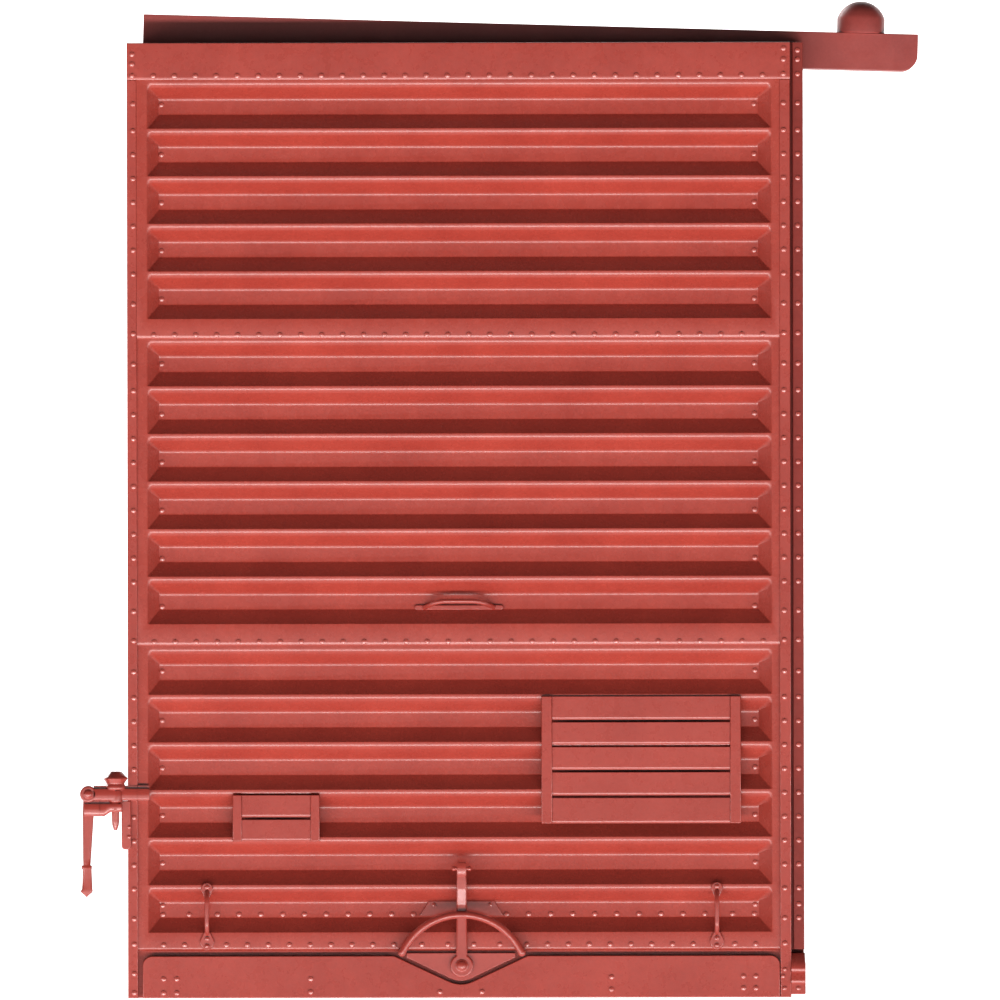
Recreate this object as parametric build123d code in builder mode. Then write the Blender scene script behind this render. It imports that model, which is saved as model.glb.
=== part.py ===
from build123d import *
import os
from math import atan2, cos, radians, sin

# Sliding door of a steel box car at 1:87, with the guide bar it hangs on.
# Millimetres. X runs right along the door, Y runs back through it, Z is up.
# The origin is the middle of the door's bottom edge, in the lower sheet's front plane.

# door outline
door_left = -12.56
door_right = 12.56
door_height = 35.48
door_back = 1.20

# pressed sheets: three sheets, each lapped over the one below it
sheet_left = -12.20
sheet_right = 11.67
sheet_thickness = 0.20
lap_step = 0.05
top_seam = 34.10
upper_seam = 24.48
middle_seam = 13.08
lap_height = 0.55
lap_clearance = 0.03
rabbet_depth = 0.12
rabbet_top = 1.74

# pockets pressed into the sheets
pocket_left = -11.81
pocket_right = 11.37
pocket_height = 1.66
pocket_pitch = 1.768
pocket_floor_y = 0.52
floor_left = -11.39
floor_right = 10.88
floor_height = 0.60
dish_wall = 0.15
upper_first_pocket = 33.96
middle_first_pocket = 24.39
lower_first_pocket = 12.93

# upright members
stile_front = -0.12
right_stile_right = 12.07
flange_y = pocket_floor_y + dish_wall
flange_thickness = 0.20
flange_reach = 1.20
edge_strip_front = 0.05
edge_strip_bottom = 1.77
edge_groove_width = 0.09
edge_groove_floor = 0.20
edge_gap_floor = 0.90

# rails
top_rail_front = -0.15
top_rail_back = 0.10
bottom_rail_front = -0.15
bottom_rail_left = -12.02
bottom_rail_right = 11.65
bottom_rail_height = 1.56
notch_centre = -0.20
notch_half_width = 2.49
notch_depth = 1.16
angle_thickness = 0.25
shoe_top = 1.62
shoe_bottom = 0.11
shoe_right = 12.60

# rivets
rivet_radius = 0.095
rivet_height = 0.07
seam_rivet_count = 30
seam_rivet_first = -11.57
seam_rivet_pitch = 0.780
stile_rivet_pitch = 0.888

# opening lever
pivot_x = -0.17
pivot_z = 1.19
lever_boss_radius = 0.43
lever_foot_width = 0.43
lever_head_width = 0.37
lever_front = -0.22
lever_back = -0.10
lever_bend_start = 3.49
lever_bend_end = 4.05
lever_offset = 0.16
lever_top = 5.05
lever_head_step = 0.08
pivot_radius = 0.12
running_gap = 0.03
guard_centre_x = -0.165
guard_centre_z = 0.625
guard_radius = 2.46
guard_rod_radius = 0.14
guard_gap = 0.02
guard_y = lever_front - guard_gap - guard_rod_radius
guard_end_angle = 25.4
guard_plate_front = pocket_floor_y - 0.06

# grab irons
left_grab_x = -9.63
right_grab_x = 9.31
grab_rod_radius = 0.09
grab_reach = 0.30
grab_top = 3.86
grab_bottom = 2.40

# boards
plank_front = -0.11
batten_front = -0.15
plank_gap = 0.08
card_left = -8.67
card_right = -5.44
card_bottom = 5.82
card_top = 7.54
card_joint = 6.67
card_batten_width = 0.34
placard_left = 2.80
placard_right = 10.21
placard_batten_width = 0.40
placard_edges = [6.46, 7.46, 8.41, 9.35, 10.27, 11.19]

# latch at the left edge
latch_pin_x = -14.02
latch_pin_z = 7.59
latch_pin_radius = 0.10
handle_front = -0.26
handle_back = -0.06
strap_front = -0.46
strap_back = handle_front - 0.03
strap_tail_front = -0.30
strap_top = 7.72
strap_bottom = 7.28
strap_end = -11.72
crank_left = -13.60
arm_bottom = 6.77
bracket_plate_front = -0.26
drop_pin_x = -13.02
drop_pin_y = -0.19
drop_pin_radius = 0.14

# guide bar, which drops slightly to the right
bar_centre_x = 2.445
bar_centre_z = 35.521
bar_slope = 1.60
bar_length = 28.88
bar_height = 1.38
bar_front = 1.35
bar_back = 2.55
groove_depth = 0.40
groove_height = 0.46
groove_left = -12.60
groove_right = 13.45
knob_along_bar = 12.31
knob_radius = 0.89
knob_ring_height = 0.55
knob_height = 1.20
shank_radius = 0.30
shank_length = 0.32

# hangers
left_hanger = -11.60
right_hanger = 6.50
hanger_width = 1.80
hanger_gap = 0.05
hanger_thickness = 0.20

os.makedirs("parts", exist_ok=True)


def front_plane(y):
    # an upright plane facing the viewer: local x is X and local y is Z
    return Plane(origin=(0, y, 0), x_dir=(1, 0, 0), z_dir=(0, -1, 0))


def slab(x_low, x_high, y_low, y_high, z_low, z_high, mode=Mode.ADD):
    middle = ((x_low + x_high) / 2, (y_low + y_high) / 2, (z_low + z_high) / 2)
    with Locations(middle):
        Box(x_high - x_low, y_high - y_low, z_high - z_low, mode=mode)


def rod_y(x, z, y_low, y_high, radius, mode=Mode.ADD):
    # a round bar along Y
    with Locations(Location((x, (y_low + y_high) / 2, z), (90, 0, 0))):
        Cylinder(radius, y_high - y_low, mode=mode)


def dome_heads(points, face_y, radius=rivet_radius, height=rivet_height, facing=-1):
    # domed heads on the plane y = face_y, bulging to the front (-1) or to the back (1)
    sphere_radius = (height**2 + radius**2) / (2 * height)
    centre_y = face_y + facing * (height - sphere_radius)
    with Locations([(x, centre_y, z) for x, z in points]):
        Sphere(sphere_radius)
    split(bisect_by=Plane(origin=(0, face_y, 0), z_dir=(0, facing, 0)), keep=Keep.TOP)


def evenly(first, pitch, count):
    return [first + pitch * k for k in range(count)]


def pressed_sheet(front, top, thick_bottom, lip_bottom, first_pocket, pocket_count):
    # a flat plate with a thin lip along its lower edge and a row of dished pockets
    with BuildPart() as sheet:
        slab(sheet_left, sheet_right, front, front + sheet_thickness, thick_bottom, top)
        if lip_bottom < thick_bottom:
            slab(sheet_left, sheet_right, front, front + lap_step, lip_bottom, thick_bottom)
        rim_x = (pocket_left + pocket_right) / 2
        floor_x = (floor_left + floor_right) / 2
        for wall, mode in ((dish_wall, Mode.ADD), (0, Mode.SUBTRACT)):
            for rim_top in evenly(first_pocket, -pocket_pitch, pocket_count):
                middle_z = rim_top - pocket_height / 2
                with BuildSketch(front_plane(front + wall)):
                    with Locations((rim_x, middle_z)):
                        Rectangle(pocket_right - pocket_left, pocket_height)
                with BuildSketch(front_plane(pocket_floor_y + wall)):
                    with Locations((floor_x, middle_z)):
                        Rectangle(floor_right - floor_left, floor_height)
                loft(mode=mode)
    return sheet


# the three pressed sheets
lower_sheet = pressed_sheet(
    0, middle_seam + lap_height, 0, 0, lower_first_pocket, 6
)
with lower_sheet:
    # rabbet along the bottom edge, in which the bottom rail and the lever's plate lie
    slab(sheet_left, sheet_right, -1, rabbet_depth, 0, rabbet_top, Mode.SUBTRACT)
    # clearance hole for the lever's pivot bolt
    rod_y(pivot_x, pivot_z, 0, sheet_thickness, pivot_radius, Mode.SUBTRACT)
lower_sheet.part.label = "lower_sheet"
export_step(lower_sheet.part, "parts/lower_sheet.step")

middle_sheet = pressed_sheet(
    -lap_step,
    upper_seam + lap_height,
    middle_seam + lap_height + lap_clearance,
    middle_seam,
    middle_first_pocket,
    6,
)
middle_sheet.part.label = "middle_sheet"
export_step(middle_sheet.part, "parts/middle_sheet.step")

upper_sheet = pressed_sheet(
    -2 * lap_step,
    top_seam + lap_height - 0.12,
    upper_seam + lap_height + lap_clearance,
    upper_seam,
    upper_first_pocket,
    5,
)
upper_sheet.part.label = "upper_sheet"
export_step(upper_sheet.part, "parts/upper_sheet.step")

# top rail, lapped over the upper sheet
top_rail_step = top_seam + lap_height - 0.12 + lap_clearance
with BuildPart() as top_rail:
    slab(sheet_left, sheet_right, top_rail_front, -2 * lap_step, top_seam, top_rail_step)
    slab(sheet_left, sheet_right, top_rail_front, top_rail_back, top_rail_step, door_height)
    # ends that cap the two stiles
    slab(door_left, sheet_left, top_rail_front, top_rail_back, top_seam, door_height)
    slab(sheet_right, right_stile_right, top_rail_front, top_rail_back, top_seam, door_height)
top_rail.part.label = "top_rail"
export_step(top_rail.part, "parts/top_rail.step")

# header angle behind the top rail: the hangers are riveted to its back leg
with BuildPart() as header_angle:
    slab(sheet_left, sheet_right, top_rail_back, door_back, door_height - angle_thickness, door_height)
    slab(sheet_left, sheet_right, door_back - 0.20, door_back, 33.10, door_height)
header_angle.part.label = "header_angle"
export_step(header_angle.part, "parts/header_angle.step")

# sill angle behind the lower sheet
with BuildPart() as sill_angle:
    slab(sheet_left, sheet_right, sheet_thickness, door_back, 0, angle_thickness)
    slab(sheet_left, sheet_right, sheet_thickness, 0.40, 0, 1.50)
    rod_y(pivot_x, pivot_z, sheet_thickness, 0.40, pivot_radius, Mode.SUBTRACT)
sill_angle.part.label = "sill_angle"
export_step(sill_angle.part, "parts/sill_angle.step")


def stile(web_low, web_high, flange_low, flange_high):
    # a web at the door's edge, notched behind the top rail, and a flange behind the pocket ends
    with BuildPart() as upright:
        slab(web_low, web_high, stile_front, door_back, 0, top_seam)
        slab(web_low, web_high, top_rail_back, door_back, top_seam, door_height)
        flange_bottom = angle_thickness + 0.05
        flange_top = door_height - angle_thickness - 0.05
        flange_back = flange_y + flange_thickness
        slab(flange_low, flange_high, flange_y, flange_back, flange_bottom, flange_top)
    return upright


left_stile = stile(door_left, sheet_left, sheet_left, sheet_left + flange_reach)
left_stile.part.label = "left_stile"
export_step(left_stile.part, "parts/left_stile.step")

right_stile = stile(sheet_right, right_stile_right, sheet_right - flange_reach, sheet_right)
right_stile.part.label = "right_stile"
export_step(right_stile.part, "parts/right_stile.step")

# recessed edge strip outside the right stile: a groove beside the stile and a gap above the shoe
groove_right_x = right_stile_right + edge_groove_width
with BuildPart() as edge_strip:
    slab(right_stile_right, door_right, edge_gap_floor, door_back, shoe_top, door_height)
    slab(right_stile_right, door_right, edge_groove_floor, door_back, edge_strip_bottom, door_height)
    slab(groove_right_x, door_right, edge_strip_front, edge_groove_floor, edge_strip_bottom, door_height)
edge_strip.part.label = "edge_strip"
export_step(edge_strip.part, "parts/edge_strip.step")

# bottom rail with a V-shaped notch below the lever
with BuildPart() as bottom_rail:
    with BuildSketch(front_plane(rabbet_depth)):
        with BuildLine():
            Polyline(
                (bottom_rail_left, 0),
                (bottom_rail_right, 0),
                (bottom_rail_right, bottom_rail_height),
                (notch_centre + notch_half_width, bottom_rail_height),
                (notch_centre, bottom_rail_height - notch_depth),
                (notch_centre - notch_half_width, bottom_rail_height),
                (bottom_rail_left, bottom_rail_height),
                close=True,
            )
        make_face()
    extrude(amount=rabbet_depth - bottom_rail_front)
    upright_edges = bottom_rail.edges().filter_by(Axis.Y)
    fillet(upright_edges.group_by(Axis.X)[0].sort_by(Axis.Z)[-1:], 0.35)
    upright_edges = bottom_rail.edges().filter_by(Axis.Y)
    fillet(upright_edges.group_by(Axis.X)[-1].sort_by(Axis.Z)[-1:], 0.35)
    notch_edges = bottom_rail.edges().filter_by(Axis.Y)
    middle_edges = notch_edges.filter_by_position(Axis.X, -2, 2)
    fillet(middle_edges, 0.50)
bottom_rail.part.label = "bottom_rail"
export_step(bottom_rail.part, "parts/bottom_rail.step")

# corner shoe at the foot of the edge strip: its front slopes out to two lips, one above the other
with BuildPart() as corner_shoe:
    with BuildSketch(Plane(origin=(right_stile_right, 0, 0), x_dir=(0, 1, 0), z_dir=(1, 0, 0))):
        with BuildLine():
            Polyline(
                (door_back, shoe_bottom),
                (stile_front, shoe_bottom),
                (stile_front, 0.50),
                (-0.17, 0.52),
                (-0.20, 0.62),
                (-0.20, 0.66),
                (stile_front, 0.93),
                (-0.25, 0.95),
                (-0.28, 1.06),
                (-0.28, 1.09),
                (-0.20, 1.30),
                (edge_groove_floor, shoe_top),
                (door_back, shoe_top),
                close=True,
            )
        make_face()
    extrude(amount=shoe_right - right_stile_right)
    foot_edges = corner_shoe.edges().filter_by(Axis.Y).group_by(Axis.X)[-1]
    fillet(foot_edges.sort_by(Axis.Z)[0], 0.25)
corner_shoe.part.label = "corner_shoe"
export_step(corner_shoe.part, "parts/corner_shoe.step")

# five-sided plate in the notch, which carries the lever's pivot
plate_half_width = 2.02
plate_tip = 0.53
plate_top = 1.66
with BuildPart() as lever_plate:
    with BuildSketch(front_plane(rabbet_depth)):
        with BuildLine():
            Polyline(
                (notch_centre - plate_half_width, plate_top),
                (notch_centre - plate_half_width, 1.49),
                (notch_centre, plate_tip),
                (notch_centre + plate_half_width, 1.49),
                (notch_centre + plate_half_width, plate_top),
                close=True,
            )
        make_face()
    extrude(amount=rabbet_depth + 0.06)
    fillet(lever_plate.edges().filter_by(Axis.Y).sort_by(Axis.Z)[0], 0.40)
    rod_y(pivot_x, pivot_z, -0.06, rabbet_depth, pivot_radius, Mode.SUBTRACT)
lever_plate.part.label = "lever_plate"
export_step(lever_plate.part, "parts/lever_plate.step")

# wear plate on the lowest pocket's floor, seen above the guard
with BuildPart() as guard_plate:
    with BuildSketch(front_plane(pocket_floor_y)):
        with BuildLine():
            Polyline(
                (-1.72, 3.03),
                (-1.41, 3.57),
                (1.06, 3.57),
                (1.37, 3.03),
                close=True,
            )
        make_face()
    extrude(amount=pocket_floor_y - guard_plate_front)
guard_plate.part.label = "guard_plate"
export_step(guard_plate.part, "parts/guard_plate.step")

# arc guard: a round rod bowed over the lever, with a leg and a foot at each end
guard_end_x = guard_radius * cos(radians(guard_end_angle))
guard_end_z = guard_centre_z + guard_radius * sin(radians(guard_end_angle))
with BuildPart() as arc_guard:
    start = (guard_centre_x + guard_end_x, guard_y, guard_end_z)
    outward = (cos(radians(guard_end_angle)), 0, sin(radians(guard_end_angle)))
    with BuildSketch(Plane(origin=start, x_dir=outward, z_dir=(-outward[2], 0, outward[0]))):
        Circle(guard_rod_radius)
    guard_axis = Axis((guard_centre_x, 0, guard_centre_z), (0, -1, 0))
    revolve(axis=guard_axis, revolution_arc=180 - 2 * guard_end_angle)
    for side in (-1, 1):
        foot_x = guard_centre_x + side * guard_end_x
        rod_y(foot_x, guard_end_z, guard_y - 0.12, 0, 0.15)
        rod_y(foot_x, guard_end_z, -0.05, 0, 0.16)
arc_guard.part.label = "arc_guard"
export_step(arc_guard.part, "parts/arc_guard.step")

# opening lever: flat bar with a round boss, bent towards the viewer above the guard
with BuildPart() as opening_lever:
    with BuildSketch(Plane(origin=(-1, 0, 0), x_dir=(0, 1, 0), z_dir=(1, 0, 0))):
        with BuildLine():
            Polyline(
                (lever_back, 0),
                (lever_back, lever_bend_start),
                (lever_back - lever_offset, lever_bend_end),
                (lever_back - lever_offset, lever_top),
                (lever_front - lever_offset - lever_head_step, lever_top),
                (lever_front - lever_offset - lever_head_step, lever_top - 0.45),
                (lever_front - lever_offset, lever_top - 0.55),
                (lever_front - lever_offset, lever_bend_end),
                (lever_front, lever_bend_start),
                (lever_front, 0),
                close=True,
            )
        make_face()
    extrude(amount=2)
    with BuildSketch(front_plane(1)):
        with BuildLine():
            Polyline(
                (pivot_x - lever_foot_width / 2, pivot_z),
                (pivot_x - lever_head_width / 2, lever_top),
                (pivot_x + lever_head_width / 2, lever_top),
                (pivot_x + lever_foot_width / 2, pivot_z),
                close=True,
            )
        make_face()
        with Locations((pivot_x, pivot_z)):
            Circle(lever_boss_radius)
    extrude(amount=3, mode=Mode.INTERSECT)
    rod_y(pivot_x, pivot_z, -1, 0, pivot_radius + running_gap, Mode.SUBTRACT)
    grip_y = (lever_back + lever_front - lever_head_step) / 2 - lever_offset
    with Locations(Location((pivot_x, grip_y, 4.80), (0, 90, 0))):
        Cylinder(0.07, 1.0, mode=Mode.SUBTRACT)
opening_lever.part.label = "opening_lever"
export_step(opening_lever.part, "parts/opening_lever.step")

# cross pin through the lever's head, with a ball at each end
with BuildPart() as lever_grip_pin:
    grip_start = (pivot_x - 0.37, grip_y, 4.80)
    with BuildSketch(Plane(origin=grip_start, x_dir=(1, 0, 0), z_dir=(0, -1, 0))):
        with BuildLine():
            Polyline(
                (0, 0),
                (0, 0.05),
                (0.04, 0.095),
                (0.12, 0.095),
                (0.16, 0.07),
                (0.58, 0.07),
                (0.62, 0.095),
                (0.70, 0.095),
                (0.74, 0.05),
                (0.74, 0),
                close=True,
            )
        make_face()
    revolve(axis=Axis(grip_start, (1, 0, 0)))
lever_grip_pin.part.label = "lever_grip_pin"
export_step(lever_grip_pin.part, "parts/lever_grip_pin.step")

# spacer washer behind the lever
with BuildPart() as pivot_washer:
    rod_y(pivot_x, pivot_z, -0.09, -0.06, 0.30)
    rod_y(pivot_x, pivot_z, -0.09, -0.06, pivot_radius, Mode.SUBTRACT)
pivot_washer.part.label = "pivot_washer"
export_step(pivot_washer.part, "parts/pivot_washer.step")

# pivot bolt: domed head, collar and a shank through the plate, sheet and sill angle
with BuildPart() as pivot_bolt:
    dome_heads([(pivot_x, pivot_z)], -0.27, 0.19, 0.12)
    rod_y(pivot_x, pivot_z, -0.27, -0.23, 0.24)
    rod_y(pivot_x, pivot_z, -0.23, 0.40, pivot_radius)
pivot_bolt.part.label = "pivot_bolt"
export_step(pivot_bolt.part, "parts/pivot_bolt.step")

# nut behind the sill angle
with BuildPart() as pivot_nut:
    with BuildSketch(front_plane(0.60)):
        with Locations((pivot_x, pivot_z)):
            RegularPolygon(0.25, 6)
    extrude(amount=0.20)
pivot_nut.part.label = "pivot_nut"
export_step(pivot_nut.part, "parts/pivot_nut.step")


def grab_iron(x):
    # a bowed rod with a drop-shaped foot at the top and a shield-shaped foot at the bottom
    with BuildPart() as iron:
        with BuildLine():
            FilletPolyline(
                (x, -0.04, grab_top + 0.10),
                (x, -grab_reach, grab_top - 0.16),
                (x, -grab_reach, grab_bottom + 0.26),
                (x, -0.04, grab_bottom),
                radius=0.16,
            )
        with BuildSketch(Plane(origin=(x, -0.04, grab_top + 0.10), z_dir=(0, -1, -1))):
            Circle(grab_rod_radius)
        sweep()
        slab(x - 1, x + 1, -2, -0.02, 0, 6, mode=Mode.INTERSECT)
        with BuildSketch(front_plane(0)):
            with Locations((x, 4.06)):
                Circle(0.22)
            with BuildLine():
                Polyline(
                    (x - 0.22, 4.06), (x + 0.22, 4.06), (x + 0.10, 3.72), (x - 0.10, 3.72), close=True
                )
            make_face()
            with BuildLine():
                Polyline(
                    (x - 0.10, 2.48),
                    (x - 0.28, 2.12),
                    (x - 0.24, 1.92),
                    (x - 0.08, 1.76),
                    (x + 0.08, 1.76),
                    (x + 0.24, 1.92),
                    (x + 0.28, 2.12),
                    (x + 0.10, 2.48),
                    close=True,
                )
            make_face()
        extrude(amount=0.07)
    return iron


left_grab_iron = grab_iron(left_grab_x)
left_grab_iron.part.label = "left_grab_iron"
export_step(left_grab_iron.part, "parts/left_grab_iron.step")

right_grab_iron = grab_iron(right_grab_x)
right_grab_iron.part.label = "right_grab_iron"
export_step(right_grab_iron.part, "parts/right_grab_iron.step")

# bolt heads on the grab irons' feet
with BuildPart() as grab_iron_bolts:
    grab_bolts = []
    for grab_x in (left_grab_x, right_grab_x):
        grab_bolts.append((grab_x, 4.12))
        grab_bolts.append((grab_x, 2.20))
        grab_bolts.append((grab_x, 1.93))
    dome_heads(grab_bolts, -0.07, 0.09, 0.07)
grab_iron_bolts.part.label = "grab_iron_bolts"
export_step(grab_iron_bolts.part, "parts/grab_iron_bolts.step")

# pull handle in the middle sheet's lowest pocket: a base strip and a bowed rod
pull_x = -0.25
pull_z = 14.49
pull_base_y = pocket_floor_y - 0.10
pull_start_y = pocket_floor_y - 0.05
pull_bow_y = -0.10
with BuildPart() as pull_handle:
    slab(pull_x - 1.65, pull_x + 1.65, pull_base_y, pocket_floor_y, pull_z - 0.09, pull_z + 0.09)
    with BuildLine():
        FilletPolyline(
            (pull_x - 1.30, pull_start_y, pull_z),
            (pull_x - 0.75, pull_bow_y, pull_z + 0.24),
            (pull_x + 0.75, pull_bow_y, pull_z + 0.24),
            (pull_x + 1.30, pull_start_y, pull_z),
            radius=0.30,
        )
    pull_direction = (0.55, pull_bow_y - pull_start_y, 0.24)
    with BuildSketch(Plane(origin=(pull_x - 1.30, pull_start_y, pull_z), z_dir=pull_direction)):
        Circle(0.09)
    sweep()
    slab(pull_x - 3, pull_x + 3, -2, pocket_floor_y, 13, 16, mode=Mode.INTERSECT)
pull_handle.part.label = "pull_handle"
export_step(pull_handle.part, "parts/pull_handle.step")

# small card board: two planks with a batten across each end
with BuildPart() as card_board_planks:
    slab(card_left, card_right, plank_front, 0, card_bottom, card_joint - plank_gap / 2)
    slab(card_left, card_right, plank_front, 0, card_joint + plank_gap / 2, card_top)
card_board_planks.part.label = "card_board_planks"
export_step(card_board_planks.part, "parts/card_board_planks.step")

with BuildPart() as card_board_battens:
    for batten_left in (card_left, card_right - card_batten_width):
        batten_right = batten_left + card_batten_width
        slab(batten_left, batten_right, batten_front, plank_front, card_bottom, card_top)
card_board_battens.part.label = "card_board_battens"
export_step(card_board_battens.part, "parts/card_board_battens.step")

# large placard board: five planks with a batten across each end
with BuildPart() as placard_planks:
    for low, high in zip(placard_edges[:-1], placard_edges[1:]):
        plank_low = low + plank_gap / 2
        plank_high = high - plank_gap / 2
        slab(placard_left, placard_right, plank_front, 0, plank_low, plank_high)
placard_planks.part.label = "placard_planks"
export_step(placard_planks.part, "parts/placard_planks.step")

with BuildPart() as placard_battens:
    for batten_left in (placard_left, placard_right - placard_batten_width):
        batten_right = batten_left + placard_batten_width
        batten_low, batten_high = placard_edges[0], placard_edges[-1]
        slab(batten_left, batten_right, batten_front, plank_front, batten_low, batten_high)
placard_battens.part.label = "placard_battens"
export_step(placard_battens.part, "parts/placard_battens.step")

# hasp strap: an eye in front of the handle, a ring for the drop pin and a tail over the stile
with BuildPart() as hasp_strap:
    slab(latch_pin_x, drop_pin_x, strap_front, strap_back, strap_bottom, strap_top)
    rod_y(latch_pin_x, latch_pin_z, strap_front, strap_back, 0.31)
    slab(crank_left, strap_end, strap_tail_front, stile_front, strap_bottom, strap_top)
    slab(sheet_left, strap_end, stile_front, 0, strap_bottom, strap_top)
    with Locations((drop_pin_x, drop_pin_y, (strap_bottom + strap_top) / 2)):
        Cylinder(0.27, strap_top - strap_bottom)
        Cylinder(drop_pin_radius + running_gap, 1, mode=Mode.SUBTRACT)
    rod_y(latch_pin_x, latch_pin_z, -1, 0, latch_pin_radius, Mode.SUBTRACT)
    strap_edges = hasp_strap.edges().filter_by(Axis.Y)
    tail_edges = strap_edges.group_by(Axis.X)[-1]
    fillet(tail_edges, 0.08)
hasp_strap.part.label = "hasp_strap"
export_step(hasp_strap.part, "parts/hasp_strap.step")

# bracket: a plate round the door's left edge, with an arm that passes in front of the handle
with BuildPart() as latch_bracket:
    slab(-14.17, crank_left, strap_front, strap_back, arm_bottom, strap_bottom)
    with BuildSketch(front_plane(stile_front)):
        with BuildLine():
            Polyline(
                (crank_left, arm_bottom),
                (-13.44, arm_bottom),
                (-13.18, 6.93),
                (-12.79, 6.93),
                (-12.79, strap_bottom),
                (crank_left, strap_bottom),
                close=True,
            )
        make_face()
    extrude(amount=stile_front - strap_front)
    slab(-12.79, -12.44, bracket_plate_front, stile_front, 5.53, strap_bottom)
    foot_edges = latch_bracket.edges().filter_by(Axis.Y).filter_by_position(Axis.Z, 5, 5.6)
    fillet(foot_edges, 0.16)
    slab(door_left - 0.12, door_left, stile_front, 0.80, 5.75, 7.22)
    with Locations((drop_pin_x, drop_pin_y, (6.93 + strap_bottom) / 2)):
        Cylinder(0.27, strap_bottom - 6.93)
        Cylinder(drop_pin_radius + running_gap, 2, mode=Mode.SUBTRACT)
latch_bracket.part.label = "latch_bracket"
export_step(latch_bracket.part, "parts/latch_bracket.step")

# rivets through the bracket's plate
with BuildPart() as bracket_rivets:
    dome_heads([(-12.51, 6.36), (-12.51, 6.00)], bracket_plate_front, 0.07, 0.05)
bracket_rivets.part.label = "bracket_rivets"
export_step(bracket_rivets.part, "parts/bracket_rivets.step")

# hanging handle behind the strap and arm: eye, tapered stem, collar and flared, pointed grip
with BuildPart() as latch_handle:
    with BuildSketch(front_plane(handle_back)):
        with Locations((latch_pin_x, latch_pin_z)):
            Circle(0.29)
        with BuildLine():
            Polyline(
                (-14.24, latch_pin_z),
                (-14.23, 4.95),
                (-14.24, 4.85),
                (-14.25, 4.10),
                (-14.33, 3.98),
                (-14.10, 3.76),
                (-13.87, 3.96),
                (-13.90, 4.10),
                (-13.90, 4.80),
                (-13.94, 4.95),
                (-13.93, 5.20),
                (-13.82, 6.90),
                (-13.80, latch_pin_z),
                close=True,
            )
        make_face()
    extrude(amount=handle_back - handle_front)
    with Locations((-14.085, (handle_front + handle_back) / 2, 4.87)):
        Box(0.40, 0.24, 0.10)
    rod_y(latch_pin_x, latch_pin_z, -1, 1, latch_pin_radius + running_gap, Mode.SUBTRACT)
latch_handle.part.label = "latch_handle"
export_step(latch_handle.part, "parts/latch_handle.step")

# pin that the handle swings on: domed head in front of the strap, riveted end behind the handle
with BuildPart() as latch_handle_pin:
    dome_heads([(latch_pin_x, latch_pin_z)], strap_front - 0.04, 0.16, 0.08)
    rod_y(latch_pin_x, latch_pin_z, strap_front - 0.04, strap_front, 0.18)
    rod_y(latch_pin_x, latch_pin_z, strap_front, -0.04, latch_pin_radius)
    rod_y(latch_pin_x, latch_pin_z, -0.04, 0.02, 0.18)
latch_handle_pin.part.label = "latch_handle_pin"
export_step(latch_handle_pin.part, "parts/latch_handle_pin.step")

# drop pin: a flared head above the strap and a tapered tip below the bracket's ring
with BuildPart() as drop_pin:
    with BuildSketch(Plane(origin=(drop_pin_x, drop_pin_y, 0), x_dir=(1, 0, 0), z_dir=(0, -1, 0))):
        with BuildLine():
            Polyline(
                (0, 6.24),
                (0.06, 6.24),
                (drop_pin_radius, 6.60),
                (drop_pin_radius, 7.74),
                (0.34, 7.74),
                (0.38, 7.80),
                (0.38, 7.88),
                (0.33, 7.95),
                (0.35, 8.01),
                (0.46, 8.16),
                (0.40, 8.22),
                (0.22, 8.43),
                (0, 8.43),
                close=True,
            )
        make_face()
    revolve(axis=Axis((drop_pin_x, drop_pin_y, 0), (0, 0, 1)))
drop_pin.part.label = "drop_pin"
export_step(drop_pin.part, "parts/drop_pin.step")

# rivet rows along the seams
seam_rivet_x = evenly(seam_rivet_first, seam_rivet_pitch, seam_rivet_count)
with BuildPart() as top_seam_rivets:
    rail_end_points = [(-12.36, 35.05), (-12.36, 34.69), (-12.36, 34.26)]
    rail_end_points += [(11.83, 35.24), (11.83, 34.83), (11.83, 34.29)]
    dome_heads([(x, top_seam + 0.15) for x in seam_rivet_x] + rail_end_points, top_rail_front)
top_seam_rivets.part.label = "top_seam_rivets"
export_step(top_seam_rivets.part, "parts/top_seam_rivets.step")

with BuildPart() as upper_seam_rivets:
    dome_heads([(x, upper_seam + 0.15) for x in seam_rivet_x], -2 * lap_step)
upper_seam_rivets.part.label = "upper_seam_rivets"
export_step(upper_seam_rivets.part, "parts/upper_seam_rivets.step")

with BuildPart() as middle_seam_rivets:
    dome_heads([(x, middle_seam + 0.15) for x in seam_rivet_x], -lap_step)
middle_seam_rivets.part.label = "middle_seam_rivets"
export_step(middle_seam_rivets.part, "parts/middle_seam_rivets.step")

# rivet row on the lowest pocket's floor, interrupted at the lever
floor_row_x = [-11.28, -10.31, -9.25] + evenly(-8.45, 0.81, 9)
floor_row_x += evenly(1.50, 0.82, 10) + [9.90, 10.72]
with BuildPart() as floor_rivets:
    dome_heads([(x, 3.08) for x in floor_row_x], pocket_floor_y)
floor_rivets.part.label = "floor_rivets"
export_step(floor_rivets.part, "parts/floor_rivets.step")

# rivet row on the band below the lowest pocket
band_row_x = evenly(-11.24, 0.777, 12) + evenly(-1.65, 0.965, 4) + evenly(2.25, 0.773, 12)
grab_feet = (left_grab_x, right_grab_x)
with BuildPart() as band_rivets:
    band_points = []
    for x in band_row_x:
        if all(abs(x - foot) > 0.40 for foot in grab_feet):
            band_points.append((x, 1.97))
    dome_heads(band_points, 0)
band_rivets.part.label = "band_rivets"
export_step(band_rivets.part, "parts/band_rivets.step")

# rivets at the wear plate's upper corners
with BuildPart() as guard_plate_rivets:
    dome_heads([(-1.20, 3.43), (0.89, 3.43)], guard_plate_front, 0.08, 0.06)
guard_plate_rivets.part.label = "guard_plate_rivets"
export_step(guard_plate_rivets.part, "parts/guard_plate_rivets.step")

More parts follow.
